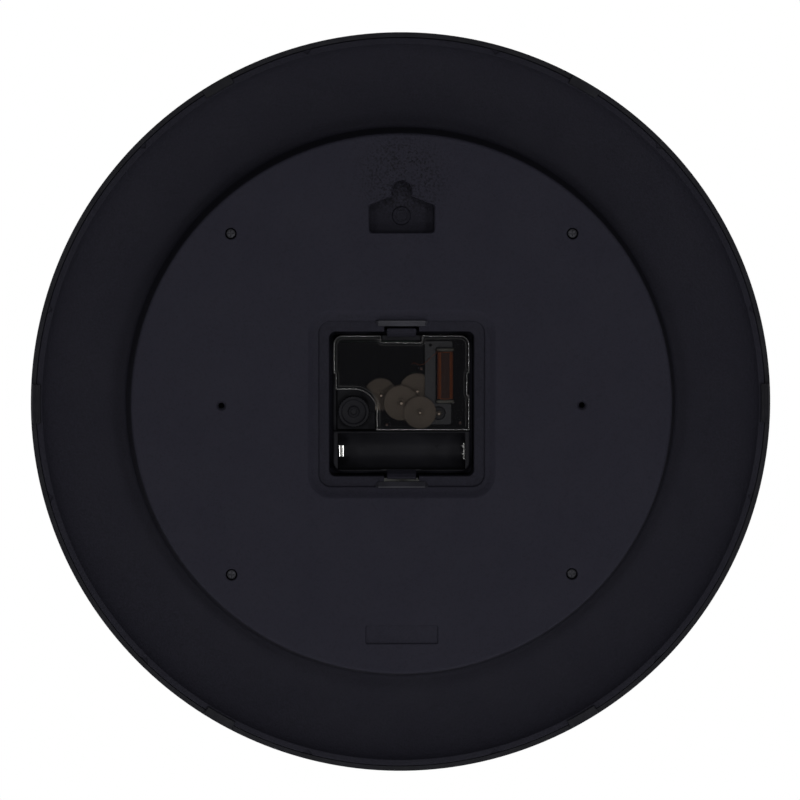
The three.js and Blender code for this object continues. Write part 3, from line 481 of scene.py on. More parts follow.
def winding_material():
    """Copper wire in close turns: bands along Z, with painted shade in the darker line between turns."""
    material, tree, shader = new_material("copper_winding", (0.75, 0.24, 0.07), 0.45, metallic=0.25)
    wave = tree.nodes.new("ShaderNodeTexWave")
    wave.bands_direction = "Z"
    wave.inputs["Scale"].default_value = 900
    wave.inputs["Distortion"].default_value = 0.6
    tree.links.new(tree.nodes.new("ShaderNodeTexCoord").outputs["Object"], wave.inputs["Vector"])
    # Painted shade: the base colour darkens along the lines between turns.
    tinted(tree, shader, wave.outputs["Fac"], (0.7, 0.13, 0.03), (1, 0.33, 0.1))
    bumped(tree, shader, wave.outputs["Fac"], 0.05)
    return material


CASE_BLACK = case_material()
GUARD_BLACK = moulded(
    "guard_black", (0.021, 0.021, 0.027), 0.5, grain=1200, height=0.01, Specular_IOR_Level=0.2
)
BEZEL_BLACK = moulded(
    "bezel_black", (0.005, 0.005, 0.0075), 0.7, grain=1800, height=0.05, Specular_IOR_Level=0.15
)
MOVEMENT_BLACK = moulded(
    "movement_black", (0.0095, 0.0095, 0.0115), 0.45, height=0.005, Specular_IOR_Level=0.03
)
# The cover's light grey, more opaque edges are a painted highlight.
COVER_CLEAR = clear_material("cover_clear", (0.004, 0.004, 0.005), (0.2, 0.2, 0.2), 0.5, 0.65)
LENS_CLEAR = clear_material("lens_clear", (0.9, 0.93, 0.94), (0.9, 0.93, 0.94), 0.05, 0.4)
SPACER_BLACK = moulded("spacer_black", (0.02, 0.02, 0.022), 0.6)
BACKING_WHITE = moulded("backing_white", (0.72, 0.72, 0.69), 0.55, spread=0.04)
DIAL_WHITE = moulded("dial_white", (0.86, 0.85, 0.81), 0.7, grain=3500, height=0.01, spread=0.02)
PRINT_BLACK = moulded("print_black", (0.015, 0.015, 0.017), 0.55, spread=0.1)
CREAM = moulded("gear_cream", (0.48, 0.38, 0.29), 0.42, grain=900, height=0.01, spread=0.08)
BOBBIN = moulded("bobbin_natural", (0.34, 0.33, 0.28), 0.45, spread=0.06)
BOARD = moulded("board_green", (0.02, 0.09, 0.045), 0.4, grain=700, spread=0.2)
RESIN = moulded("chip_resin", (0.012, 0.012, 0.012), 0.3)
DARK_STRIP = moulded("coil_dark_strip", (0.12, 0.035, 0.015), 0.45, spread=0.2)
STAKE = moulded("stake_tip", (0.34, 0.2, 0.16), 0.4, spread=0.1)
SCREW_BLACK = metal("screw_black", (0.035, 0.035, 0.04), 0.55)
LAMINATION = metal("lamination", (0.2, 0.2, 0.21), 0.5, stretch=(8, 1, 0.4))
NICKEL = metal("contact_nickel", (0.92, 0.92, 0.9), 0.16, height=0.004)
CAN = metal("crystal_can", (0.75, 0.76, 0.77), 0.25, stretch=(0.3, 4, 4))
BRASS = metal("brass", (0.78, 0.56, 0.24), 0.28)
MAGNET = metal("rotor_magnet", (0.12, 0.12, 0.13), 0.5)
COPPER = winding_material()
HAND_BLACK = moulded("hand_black", (0.01, 0.01, 0.011), 0.32, grain=2600, height=0.006)
HAND_RED = moulded("second_red", (0.5, 0.02, 0.015), 0.32, grain=2600, height=0.006, spread=0.08)


# ------------------------------------------------------------------ rear case

def case_profile():
    """The case's turned section: back face, trough and lip outside, then the inside back to the plateau."""
    steps = 24
    end = math.radians(TROUGH_TURN)
    trough = []
    for i in range(steps + 1):
        angle = end * i / steps
        across = math.sin(angle) / math.sin(end)
        rise = (1 - math.cos(angle)) / (1 - math.cos(end))
        radius = TROUGH_BOWL + (LIP_INNER - TROUGH_BOWL) * across
        trough.append((radius, TROUGH_FLOOR + (LIP_TOP - TROUGH_FLOOR) * rise, 0))
    under = [(radius, y - SHELL, 0) for radius, y, _ in reversed(trough[:-1])]
    corners = [
        (PLATEAU_RADIUS - 6, BACK, 0),
        (PLATEAU_RADIUS, BACK, 1.3),
        (WALL_FOOT, TROUGH_FLOOR, 2.2),
        *trough[:-1],
        (LIP_INNER, LIP_TOP, 0.4),
        (LIP_OUTER, LIP_TOP, 0.4),
        (LIP_OUTER, SKIRT_END, 0.3),
        (LIP_OUTER - SHELL, SKIRT_END, 0.3),
        (LIP_OUTER - SHELL, LIP_TOP - SHELL, 0.5),
        *under,
        (WALL_FOOT - SHELL, TROUGH_FLOOR - SHELL, 0),
        (PLATEAU_RADIUS - SHELL, BACK - SHELL, 0.5),
        (PLATEAU_RADIUS - 8, BACK - SHELL, 0),
    ]
    return rounded(corners, closed=False)


def keyhole(grow):
    """The hanging pocket's outline, grown outwards."""
    corners = mirrored([
        (KEY_HALF, KEY_LOW, 1.2),
        (KEY_HALF, KEY_SHOULDER, 0.8),
        (KEY_NECK, KEY_WAIST, 1.2),
        (KEY_NECK, KEY_HIGH, 3.8),
    ])
    return inset(corners, -grow) if grow else corners


def pocket(grow):
    """The square room behind the keyhole, grown outwards."""
    middle = (KEY_LOW + KEY_HIGH) / 2
    return square(KEY_HALF + grow, 1, (0, middle), (KEY_HIGH - KEY_LOW) / 2 + grow)


def window_cut():
    """The stepped square recess over the movement, and the well below it."""
    corners = square(38, 9)
    levels = [
        (BACK + 0.6, -1.5),
        (BACK, -0.9),
        (BACK - 0.25, -0.3),
        (BACK - 0.8, 0.5),
        (BACK - 1.5, 1.6),
        (BACK - 1.9, 2.6),
        (BACK - 2.0, 3.4),
        (BACK - 2.2, 3.75),
        (LEDGE + 0.3, 4),
        (LEDGE, 4.3),
    ]
    recess = stack(corners, levels)
    well_levels = [(LEDGE + 1, -0.3), (LEDGE - 0.1, -0.3), (LEDGE - 0.4, 0), (WELL_FLOOR, 0)]
    return [recess, stack(square(WELL_HALF, 2.6), well_levels)]


def on_side(points, side):
    """Points of a (y, z) outline for the top, or for the bottom when side is -1."""
    return [(y, z * side, radius) for y, z, radius in points]


def spring_arm(side):
    """A spring arm of the well, whose nose holds the movement."""
    inner = WELL_HALF
    return bar_x(on_side([
        (-1, inner, 0.1),
        (-1, inner + 1.3, 0.1),
        (18.4, inner + 1.3, 0.4),
        (18.4, inner + 0.4, 0.4),
        (17.3, inner - 0.9, 0.4),
        (CLIP_CATCH + 1.3, 27.4, 0.4),
        (CLIP_CATCH, 27.4, 0.3),
        (CLIP_CATCH, inner, 0.3),
    ], side), -6, 6, 0.3)


def clip_guard(side):
    """The smooth, chamfered rib behind a spring arm."""
    near = WELL_HALF + 2.2
    return bar_x(on_side([
        (LEDGE - 1, near, 0.2),
        (LEDGE - 1, 34.4, 0.2),
        (21.3, 34.4, 0.3),
        (21.3, 33.9, 0.3),
        (19.6, near, 0.4),
    ], side), -10.7, 10.7, 1.1)


def polar(radius, degrees):
    """A point in X and Z at an angle clockwise from the top, as seen from the front."""
    angle = math.radians(degrees)
    return radius * math.sin(angle), radius * math.cos(angle)


def lip_notches():
    """Twelve small three-cornered notches in the lip's outer edge."""
    cuts = []
    for i in range(12):
        middle = 15 + 30 * i
        corners = [
            (*polar(LIP_INNER + 0.5, middle), 0),
            (*polar(LIP_OUTER + 1, middle + 1.25), 0),
            (*polar(LIP_OUTER + 1, middle - 1.25), 0),
        ]
        cuts.append(slab(corners, LIP_TOP - 1.3, LIP_TOP + 1, 0.02))
    return cuts


SCREW_PLACES = [(x * SCREW_OFFSET, z * SCREW_OFFSET) for x, z in [(1, 1), (-1, 1), (-1, -1), (1, -1)]]


def make_rear_case():
    shell = turned(case_profile())
    additions = [
        stack(square(40.2, 11), [(LEDGE - SHELL, 0), (BACK - 1, 0)]),
        stack(square(WELL_HALF + 2, 4.6), [(-1.6, 0), (LEDGE, 0)]),
        stack(pocket(SHELL), [(KEY_FLOOR - 1.8, 0), (BACK - 1, 0)]),
        *[turned([(3.6, 9.5), (3.6, BACK - 1)], place, 48) for place in SCREW_PLACES],
    ]
    cuts = [
        *window_cut(),
        rod(CENTRE, 4.2, -3, 1, 0.1, 48),
        stack(pocket(0), [(KEY_FLOOR, 0), (BACK - SHELL, 0)]),
        stack(keyhole(0), [(13.1, 0), (BACK - 0.9, 0), (BACK - 0.3, -0.25), (BACK + 0.3, -0.9)]),
        stack(square(14.8, 0.5, (0, -95), 3.7), [(BACK - 0.9, 0.1), (BACK - 0.25, 0), (BACK + 0.2, -0.4)]),
        *lip_notches(),
    ]
    for place in SCREW_PLACES:
        cuts.append(turned([(2.3, 18.7), (2.3, BACK - 0.5), (2.4, BACK - 0.2), (2.9, BACK + 0.2)], place, 48))
        cuts.append(turned([(1.35, 8), (1.35, 19)], place, 24))
    for side in (1, -1):
        pin = [(1.2, BACK - 4), (1.2, BACK - 1.2), (1.45, BACK - 0.7), (2.3, BACK + 0.2)]
        cuts.append(turned(pin, (PIN_HOLE[0] * side, PIN_HOLE[1]), 40))
        slot = sorted((side * (WELL_HALF - 0.4), side * (WELL_HALF + 2.3)))
        cuts.append(stack(square(7.2, 0, (0, sum(slot) / 2), (slot[1] - slot[0]) / 2), [(1.5, 0), (BACK, 0)]))
    case = joined("rear_case_moulding", [shell, *additions], cuts)
    boss = turned([(3.9, 12.5), (3.9, 13.1), (3.6, 13.8), (3.2, 14), (2.4, 14), (2.2, 13.7)], (0, 77.2), 48)
    combine(case, [spring_arm(1), spring_arm(-1), boss], "UNION")
    piece(case, CASE_BLACK, nodes=["rear_case", "back_panel", "movement_well", "hanger_box"])
    guards = piece(raw_object("clip_guards", [clip_guard(1), clip_guard(-1)]), GUARD_BLACK)


def make_screws():
    for i, place in enumerate(SCREW_PLACES, 1):
        x, z = place
        low, high = extent(f"case_screw_{i}", Y)
        head = turned([
            (1.8, high - 2.1), (2, high - 1.9), (2, high - 0.7), (1.75, high - 0.25), (1.1, high),
        ], place, 48)
        shank = turned([(0.2, low), (0.8, low + 1), (0.8, high - 1.6)], place, 24)
        ridges = []
        for k in range(18):
            y = low + 1.2 + k * 0.75
            ridges += [(0.78, y), (0.95, y + 0.3), (0.78, y + 0.6)]
        thread = turned(ridges, place, 24)
        cross = [
            box((x - 1.1, x + 1.1), (high - 0.9, high + 1), (z - 0.22, z + 0.22), 0.04),
            box((x - 0.22, x + 0.22), (high - 0.9, high + 1), (z - 1.1, z + 1.1), 0.04),
        ]
        piece(joined(f"screw_{i}", [head, shank, thread], cross), SCREW_BLACK, nodes=[f"case_screw_{i}"])


# ------------------------------------------------------------------ bezel, lens, spacer and dial

def hook(degrees):
    """A hook of the bezel, over the case lip; the two at the sides are wider, with ridges along them."""
    wide = degrees % 180 == 90
    half = math.degrees((16 if wide else 13) / 2 / LIP_OUTER)
    seat = LIP_TOP + 0.3

    def wedge(inner, outer, low, high, bevel):
        angles = [half * (k / 3 - 1) for k in range(7)]
        corners = [(*polar(outer, degrees + a), 0) for a in angles]
        corners += [(*polar(inner, degrees + a), 0) for a in reversed(angles)]
        return slab(corners, low, high, bevel)

    shapes = [wedge(148.4, 152.1, seat, seat + 1.1, 0.25), wedge(150.8, 152.1, 11, seat + 0.6, 0.05)]
    if wide:
        for inner in (148.6, 149.8, 151):
            shapes.append(wedge(inner, inner + 0.7, seat + 0.8, seat + 1.35, 0.15))
    return shapes


def make_bezel():
    lens_seat = LENS_RADIUS + 0.6
    corners = [
        (CLOCK_RADIUS, 13.6, 0.5),
        (CLOCK_RADIUS - 1.2, -10, 14),
        (CLOCK_RADIUS - 4, -18, 6),
        (CLOCK_RADIUS - 9, FRONT, 5),
        (CLOCK_RADIUS - 14, FRONT + 0.9, 6),
        (128.6, LENS_FRONT - 1.2, 0.5),
        (128.6, LENS_FRONT - 0.3, 0.1),
        (lens_seat, LENS_FRONT - 0.3, 0.1),
        (lens_seat, LENS_BACK + 0.6, 0.2),
        (lens_seat + 1.6, LENS_BACK + 0.6, 0.2),
        (lens_seat + 3, FRONT + 6.6, 0.8),
        (CLOCK_RADIUS - 14, FRONT + 3.2, 2),
        (CLOCK_RADIUS - 9, FRONT + 2.4, 2),
        (CLOCK_RADIUS - 6, -17, 3),
        (149.6, -8, 3),
        (BEZEL_BORE, 0.5, 0.5),
        (BEZEL_BORE, 13.6, 0.3),
    ]
    ring = turned(rounded(corners), closed=True)
    hooks = [shape for degrees in range(30, 360, 60) for shape in hook(degrees)]
    bezel = joined("bezel_moulding", [ring, *hooks])
    piece(bezel, BEZEL_BLACK, nodes=["front_bezel"])


def make_lens():
    profile = rounded(washer(20, LENS_RADIUS, LENS_FRONT, LENS_BACK, 0, 0.4), closed=False)
    piece(joined("clear_lens", [turned(profile)]), LENS_CLEAR, nodes=["lens"])


def make_spacer():
    corners = washer(LENS_RADIUS - 3.1, LENS_RADIUS, SPACER_FRONT, SPACER_BACK, 0.3, 0.3)
    piece(joined("inner_ring", [turned(rounded(corners), closed=True)]), SPACER_BLACK, nodes=["spacer_ring"])


DIAL_HOLE = 4.4
PRINT_THICK = 0.06
TRACK = {"long": 113, "short": 117, "outer": 121, "ring": (122.2, 122.7)}


def make_dial():
    back = PLATE_FRONT + 1.7
    corners = washer(DIAL_HOLE, PLATE_RADIUS, PLATE_FRONT, back, 0.2, 0.5)
    post = [(3.2, back - 0.5), (3.2, POST_TOP - 0.3), (2.9, POST_TOP)]
    posts = [turned(post, place, 40) for place in SCREW_PLACES]
    pilots = [turned([(1.25, 3), (1.25, POST_TOP + 1)], place, 24) for place in SCREW_PLACES]
    backing = joined("dial_backing", [turned(rounded(corners), closed=True), *posts], pilots)
    piece(backing, BACKING_WHITE, nodes=["dial_plate"])

    corners = washer(DIAL_HOLE, DIAL_RADIUS, DIAL_FRONT, DIAL_BACK, 0.05, 0.08)
    piece(joined("dial_card", [turned(rounded(corners), closed=True)]), DIAL_WHITE, nodes=["dial_face"])

    marks = []
    for minute in range(60):
        long = minute % 5 == 0
        half = 0.9 if long else 0.35
        inner = TRACK["long"] if long else TRACK["short"]
        outer = TRACK["outer"]
        across = polar(half, minute * 6 + 90)
        corners = []
        for radius, side in ((inner, 1), (outer, 1), (outer, -1), (inner, -1)):
            a, b = polar(radius, minute * 6)
            corners.append((a + side * across[0], b + side * across[1], 0))
        marks.append(slab(corners, DIAL_FRONT - PRINT_THICK, DIAL_FRONT, 0.01))
    near, far = TRACK["ring"]
    top = DIAL_FRONT - PRINT_THICK
    ring = turned([(near, DIAL_FRONT), (far, DIAL_FRONT), (far, top), (near, top)], closed=True)
    piece(raw_object("minute_track", [*marks, ring]), PRINT_BLACK)

    for hour in range(1, 13):
        text = bpy.data.curves.new(f"numeral_{hour}", "FONT")
        text.body = str(hour)
        text.size = 27 * MM
        text.align_x = "CENTER"
        text.align_y = "CENTER"
        text.extrude = 0.03 * MM
        text.materials.append(PRINT_BLACK)
        numeral = placed(f"numeral_{hour}", text)
        a, b = polar(98, hour * 30)
        numeral.rotation_euler = (math.radians(90), 0, 0)
        numeral.location = (a * MM, (DIAL_FRONT - 0.04) * MM, b * MM)
        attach(numeral, "case")


# ------------------------------------------------------------------ hands

REST_HOUR = 10
REST_MINUTES = 9.6
REST_SECONDS = 36


def hand(name, corners, y, hub, bore, degrees, material, body, node, extras=()):
    """A hand with a raised hub, its outline pointing up, turned to its place on the dial."""
    low, high = y
    hub_rings = turned([(hub - 0.3, low - 0.15), (hub, low), (hub, high)], CENTRE, 64)
    hole = rod(CENTRE, bore, low - 2, high + 2, 0.1, 48)
    made = joined(name, [slab(corners, low, high, 0.1), hub_rings, *extras], [hole])
    angle = math.radians(degrees)
    for vertex in made.data.vertices:
        x, _, z = vertex.co
        vertex.co.x = x * math.cos(angle) + z * math.sin(angle)
        vertex.co.z = -x * math.sin(angle) + z * math.cos(angle)
    piece(made, material, body, [node])


def blade(stations, tip):
    """A symmetrical outline from (half width, z) stations."""
    return mirrored([(half, z, tip) for half, z in stations])


def make_hands():
    outline = blade([(2.6, -16), (3.6, 8), (4.6, 56), (0.6, 76)], 0.3)
    hand("hour_hand_blade", outline, extent("hour_hand", Y), 6.5, 3, (REST_HOUR + REST_MINUTES / 60) * 30,
         HAND_BLACK, "hours", "hour_hand")
    outline = blade([(2, -20), (2.6, 8), (3.4, 92), (0.5, 112)], 0.3)
    hand("minute_hand_blade", outline, extent("minute_hand", Y), 5, 2, REST_MINUTES * 6,
         HAND_BLACK, "minutes", "minute_hand")
    low, high = extent("second_hand", Y)
    weight = turned([(4.3, low), (4.5, low + 0.1), (4.5, high - 0.1), (4.3, high)], (0, -27), 64)
    hand("second_hand_blade", blade([(1, -34), (0.9, 20), (0.5, 110)], 0.2), (low, high),
         3.2, 0.85, REST_SECONDS * 6, HAND_RED, "seconds", "second_hand", [weight])
    low, high = extent("second_hand_cap", Y)
    cap = turned([(2.2, high), (2.2, high - 0.2), (1.9, low + 0.08), (1.3, low)], CENTRE, 64)
    piece(joined("hand_cap", [cap]), HAND_RED, "seconds", ["second_hand_cap"])


# ------------------------------------------------------------------ gears

def module_for(a, teeth_a, b, teeth_b):
    """The module that makes two gears fill the distance between their centres."""
    return 2 * math.dist(a, b) / (teeth_a + teeth_b)


def meshed(driver, driver_teeth, driver_phase, driven, driven_teeth):
    """The phase that puts a gap of the driven gear opposite a tooth of the driver."""
    towards = math.atan2(driven[1] - driver[1], driven[0] - driver[0])
    offset = (driver_phase - towards) / (2 * math.pi / driver_teeth)
    pitch = 2 * math.pi / driven_teeth
    return towards + math.pi + pitch / 2 - offset * pitch


def gear(centre, teeth, module, phase, y, hub=None):
    """A gear with rounded teeth; with a hub radius it also has a rim, a thinner web and a raised hub."""
    low, high = y
    pitch_radius = teeth * module / 2
    tooth = [(-0.3, -0.95), (-0.22, 0), (-0.1, 0.6), (0, 0.7), (0.1, 0.6), (0.22, 0), (0.3, -0.95)]
    angles = []
    radii = []
    for i in range(teeth):
        for across, reach in tooth:
            angles.append(phase + (i + across) * 2 * math.pi / teeth)
            radii.append(pitch_radius + reach * module)

    def toothed(level, shrink=0.0):
        return [
            (centre[0] + (r - shrink) * math.cos(a), level, centre[1] + (r - shrink) * math.sin(a))
            for a, r in zip(angles, radii)
        ]

    def plain(radius, level):
        return [(centre[0] + radius * math.cos(a), level, centre[1] + radius * math.sin(a)) for a in angles]

    rim = [toothed(low, 0.06), toothed(low + 0.06), toothed(high - 0.06), toothed(high, 0.06)]
    if hub is None:
        return loft(rim)
    inner = pitch_radius - 3.2 * module
    web = 0.22
    boss = 0.12
    edge = 0.08
    face = [(hub - edge, -boss), (hub, edge - boss), (hub, web), (inner, web), (inner, 0)]
    before = [plain(radius, low + rise) for radius, rise in face]
    after = [plain(radius, high - rise) for radius, rise in reversed(face)]
    return loft(before + rim + after)


LAYERS = {
    "hour": (2.2, 3.2), "minute": (4.2, 5.2), "centre": (6.2, 7.0),
    "third": (8.0, 8.8), "second": (9.8, 10.6), "rotor": (11.6, 12.4),
}


def arbor(centre, radius=0.45, low=1.5, high=15.3):
    return rod(centre, radius, low, high, 0.12, 24)


def make_gears():
    rotor_pair = module_for(ROTOR, 10, INTERMEDIATE, 60)
    second_pair = module_for(INTERMEDIATE, 10, CENTRE, 50)
    third_pair = module_for(CENTRE, 8, THIRD, 60)
    centre_pair = module_for(THIRD, 8, CENTRE, 64)
    minute_pair = module_for(CENTRE, 14, MINUTE_WORK, 42)
    hour_pair = module_for(MINUTE_WORK, 10, CENTRE, 40)
    minute_phase = meshed(CENTRE, 14, 0, MINUTE_WORK, 42)

    def made(name, shapes, body, node, cuts=(), material=CREAM):
        piece(joined(name, shapes, cuts), material, body, [node], crease=28)

    made("rotor_pinion_moulding", [
        gear(ROTOR, 10, rotor_pair, 0, LAYERS["rotor"]), arbor(ROTOR), rod(ROTOR, 0.9, 8.2, 11.7),
    ], "rotor", "rotor_pinion")
    made("magnet_ring", [turned([(2.4, 8.4), (2.5, 8.5), (2.5, 10.7), (2.4, 10.8)], ROTOR, 64)], "rotor",
         "rotor_magnet", [rod(ROTOR, 1.2, 8, 11.2)], MAGNET)
    made("intermediate_wheel_moulding", [
        gear(INTERMEDIATE, 60, rotor_pair, meshed(ROTOR, 10, 0, INTERMEDIATE, 60), LAYERS["rotor"], 1.6),
        gear(INTERMEDIATE, 10, second_pair, 0, LAYERS["second"]),
        rod(INTERMEDIATE, 0.8, 10, 12), arbor(INTERMEDIATE),
    ], "intermediate", "intermediate_wheel")
    made("seconds_wheel_moulding", [
        gear(CENTRE, 50, second_pair, meshed(INTERMEDIATE, 10, 0, CENTRE, 50), LAYERS["second"], 1.8),
        gear(CENTRE, 8, third_pair, 0, LAYERS["third"]),
        arbor(CENTRE, 0.55, extent("seconds_wheel", Y)[0]),
    ], "seconds", "seconds_wheel")
    made("third_wheel_moulding", [
        gear(THIRD, 60, third_pair, meshed(CENTRE, 8, 0, THIRD, 60), LAYERS["third"], 1.5),
        gear(THIRD, 8, centre_pair, 0, LAYERS["centre"]),
        arbor(THIRD),
    ], "third", "third_wheel")
    made("centre_wheel_moulding", [
        gear(CENTRE, 64, centre_pair, meshed(THIRD, 8, 0, CENTRE, 64), LAYERS["centre"], 2.2),
        rod(CENTRE, 1.9, 6.3, 7.6),
    ], "centre", "centre_wheel", [rod(CENTRE, 0.9, 5, 9)])
    made("cannon_pinion_moulding", [
        gear(CENTRE, 14, minute_pair, 0, LAYERS["minute"]), rod(CENTRE, 1.7, -11, 5.9, 0.15, 48),
    ], "minutes", "cannon_pinion", [rod(CENTRE, 0.9, -12, 7)])
    made("minute_work_moulding", [
        gear(MINUTE_WORK, 42, minute_pair, minute_phase, LAYERS["minute"], 1.9),
        gear(MINUTE_WORK, 10, hour_pair, 0, LAYERS["hour"]),
        rod(MINUTE_WORK, 1.2, 2.5, 4.5), arbor(MINUTE_WORK),
    ], "minute_work", "minute_work_wheel")
    made("hour_wheel_moulding", [
        gear(CENTRE, 40, hour_pair, meshed(MINUTE_WORK, 10, 0, CENTRE, 40), LAYERS["hour"], 3.4),
        rod(CENTRE, 2.7, -9.3, 3.6, 0.15, 48),
    ], "hours", "hour_wheel", [rod(CENTRE, 2, -10, 5, 0.1, 48)])
    setting_phase = meshed(MINUTE_WORK, 42, minute_phase, SETTING, 40)
    made("setting_gear_moulding", [
        gear(SETTING, 40, minute_pair, setting_phase, LAYERS["minute"], 2.3),
        rod(SETTING, 2.2, 3.3, 5),
    ], "setting", "setting_gear", [rod(SETTING, 1.5, 3, 6)])


def make_setting_knob():
    ribs = 30

    def knurled(radius, level, depth):
        ring = []
        for i in range(ribs * 4):
            angle = 2 * math.pi * i / (ribs * 4)
            reach = radius - depth * (0.5 - 0.5 * math.cos(ribs * angle))
            ring.append((SETTING[0] + reach * math.cos(angle), level, SETTING[1] + reach * math.sin(angle)))
        return ring

    rings = [
        (6.2, 8.2, 0.3), (6.6, 8.5, 0.4), (6.6, 11.9, 0.4), (6.3, 12.3, 0.25), (5.9, 12.4, 0),
        (5.3, 12.4, 0), (5.0, 12.1, 0), (4.7, 11.6, 0), (4.0, 11.4, 0), (2.6, 11.2, 0),
        (2.3, 11.4, 0), (2.1, 12.1, 0), (1.6, 12.3, 0), (1.2, 12.1, 0), (1.0, 11.7, 0),
    ]
    grip = loft([knurled(*ring) for ring in rings])
    knob = joined("setting_knob_moulding", [grip, rod(SETTING, 1.2, 1.5, 9, 0.15, 32)])
    piece(knob, MOVEMENT_BLACK, "setting", ["setting_knob"])


# ------------------------------------------------------------------ movement

BAY_EDGE = -11.5
CELL = {"y": 9.2, "z": -19.75, "radius": 7.55}
POSTS = [((-8.2, 14.2), 1.2), ((6, -8.9), 1.5), ((-24.2, -8.1), 1.3)]


def make_movement_base():
    half = BASE_HALF
    wall_top = 9
    tray = slab(square(half, 4), BASE_FRONT, wall_top, 0.25)
    hollow = stack(square(half - 1.2, 2.8), [(1.9, 0), (wall_top + 1, 0)])
    bay = slab([
        (half, BAY_EDGE, 0.3), (half, -half, 4), (-half, -half, 4), (-half, BAY_EDGE, 0.3),
    ], BASE_FRONT, BAY_TOP, 0.35)
    catch = box((-8, 8), (BASE_FRONT, CLIP_CATCH - 0.3), (25.7, half), 0.2)
    base = joined("movement_base_moulding", [tray], [hollow])
    stakes = [rod(place, radius, 1.5, 14.2, 0.2, 32) for place, radius in POSTS]
    combine(base, [bay, catch, *stakes], "UNION")
    radius = CELL["radius"]
    trough = bar_x([
        (CELL["y"] - radius, CELL["z"] - radius, radius - 0.05),
        (CELL["y"] - radius, CELL["z"] + radius, radius - 0.05),
        (BAY_TOP - 0.4, CELL["z"] + radius, 0.05),
        (BAY_TOP + 0.6, CELL["z"] + radius + 0.5, 0.05),
        (BAY_TOP + 0.6, CELL["z"] - radius - 0.5, 0.05),
        (BAY_TOP - 0.4, CELL["z"] - radius, 0.05),
    ], -26.3, 26.3, 0.02)
    clip_relief = box((-8.4, 8.4), (CLIP_CATCH - 0.3, BAY_TOP + 1), (-half - 1, -27.2), 0.1)
    places = (MINUTE_WORK, THIRD, INTERMEDIATE, ROTOR, SETTING)
    sockets = [rod(place, 0.85, 1.2, 3, 0.05, 24) for place in places]
    shaft = rod(CENTRE, 4.2, 0, 3, 0.1, 48)
    combine(base, [trough, clip_relief, shaft, *sockets], "DIFFERENCE")
    piece(base, MOVEMENT_BLACK, nodes=["movement_base"])

    tips = [turned([(0.55, 14.1), (0.55, 14.35), (0.35, 14.5)], place, 24) for place, _ in POSTS]
    piece(raw_object("stake_tips", tips), STAKE)

    floor = CELL["y"] - radius
    level = (floor - 0.1, floor + 0.35)
    middle = CELL["z"] + 1.45
    bars = [box((x - 1.3, x + 1.3), level, (middle - 0.25, middle + 0.25), 0.08) for x in (15.3, -15.3)]
    bars.append(box((-15.55, -15.05), level, (middle - 1.3, middle + 1.3), 0.08))
    piece(raw_object("polarity_marks", bars), MOVEMENT_BLACK)


def cover_corners():
    half = BASE_HALF
    return [
        (-half, -11.1, 0.3),
        (10.3, -11.1, 0.3),
        (10.3, 5.7, 9.3),
        (half - 0.8, 5.7, 0.3),
        (half - 0.8, 12.4, 0.3),
        (half, 12.4, 0.3),
        (half, half, 4),
        (8.4, half, 0.5),
        (8.4, 25.3, 0.4),
        (-8.4, 25.3, 0.4),
        (-8.4, half, 0.5),
        (-half, half, 4),
        (-half, 12.4, 0.3),
        (0.8 - half, 12.4, 0.3),
        (0.8 - half, 3.5, 0.3),
        (-half, 3.5, 0.3),
    ]


def make_cover():
    corners = cover_corners()
    outer = stack(corners, [
        (COVER_SKIRT, 0.1),
        (COVER_SKIRT + 0.1, 0),
        (COVER_TOP - 0.5, 0),
        (COVER_TOP - 0.2, 0.15),
        (COVER_TOP, 0.5),
    ])
    hollow = stack(corners, [(COVER_SKIRT - 1, 1.2), (COVER_TOP - 1.8, 1.2), (COVER_TOP - 1.4, 1.6)])
    open_side = box((-26.8, 9.1), (COVER_SKIRT - 1, COVER_TOP - 1.4), (-12, -9.5), 0.02)
    low = COVER_TOP - 2.4
    high = COVER_TOP - 1.2
    collar = [(1.5, low), (1.6, high), (0.95, high), (0.95, low)]
    places = (CENTRE, MINUTE_WORK, THIRD, INTERMEDIATE, ROTOR)
    rings = [turned(collar, place, 40, closed=True) for place in places]
    cover = joined("clear_cover", [outer], [hollow, open_side])
    combine(cover, rings, "UNION")
    piece(cover, COVER_CLEAR, nodes=["movement_cover"])


def make_middle_plate():
    upper = slab([
        (-9.2, 6.6, 0.4), (26.4, 6.6, 0.4), (26.4, 25, 1.5), (-9.2, 25, 0.6),
    ], 7.1, 9, 0.3)
    lower = slab([(10.6, -11.1, 0.4), (26.4, -11.1, 0.4), (26.4, 8, 0.2), (10.6, 8, 9.2)], 6.4, 7.6, 0.2)
    cuts = [
        rod(SETTING, 1.7, 6, 9),
        rod(MINUTE_WORK, 8, 6.9, 10, 0.1, 64),
        rod(THIRD, 8, 6.9, 10, 0.1, 64),
        rod(CENTRE, 8.1, 6, 10, 0.1, 64),
        stack(square(2, 0.3, (-8.2, 13), 2.9), [(6.9, 0), (10, 0)]),
    ]
    plate = joined("middle_plate_moulding", [upper, lower], cuts)
    ribs = [
        box((8.8, 9.3), (8.8, 9.6), (11.5, 24.6), 0.12),
        box((-8.9, 26.1), (8.8, 9.6), (24.2, 24.8), 0.12),
        box((25.5, 26.1), (8.8, 9.6), (6.9, 24.8), 0.12),
        box((16.8, 26.1), (8.8, 9.6), (6.8, 7.4), 0.12),
    ]
    combine(plate, ribs, "UNION")
    piece(plate, MOVEMENT_BLACK, nodes=["middle_plate"])


COIL_AXIS = (-18.2, 9.6)


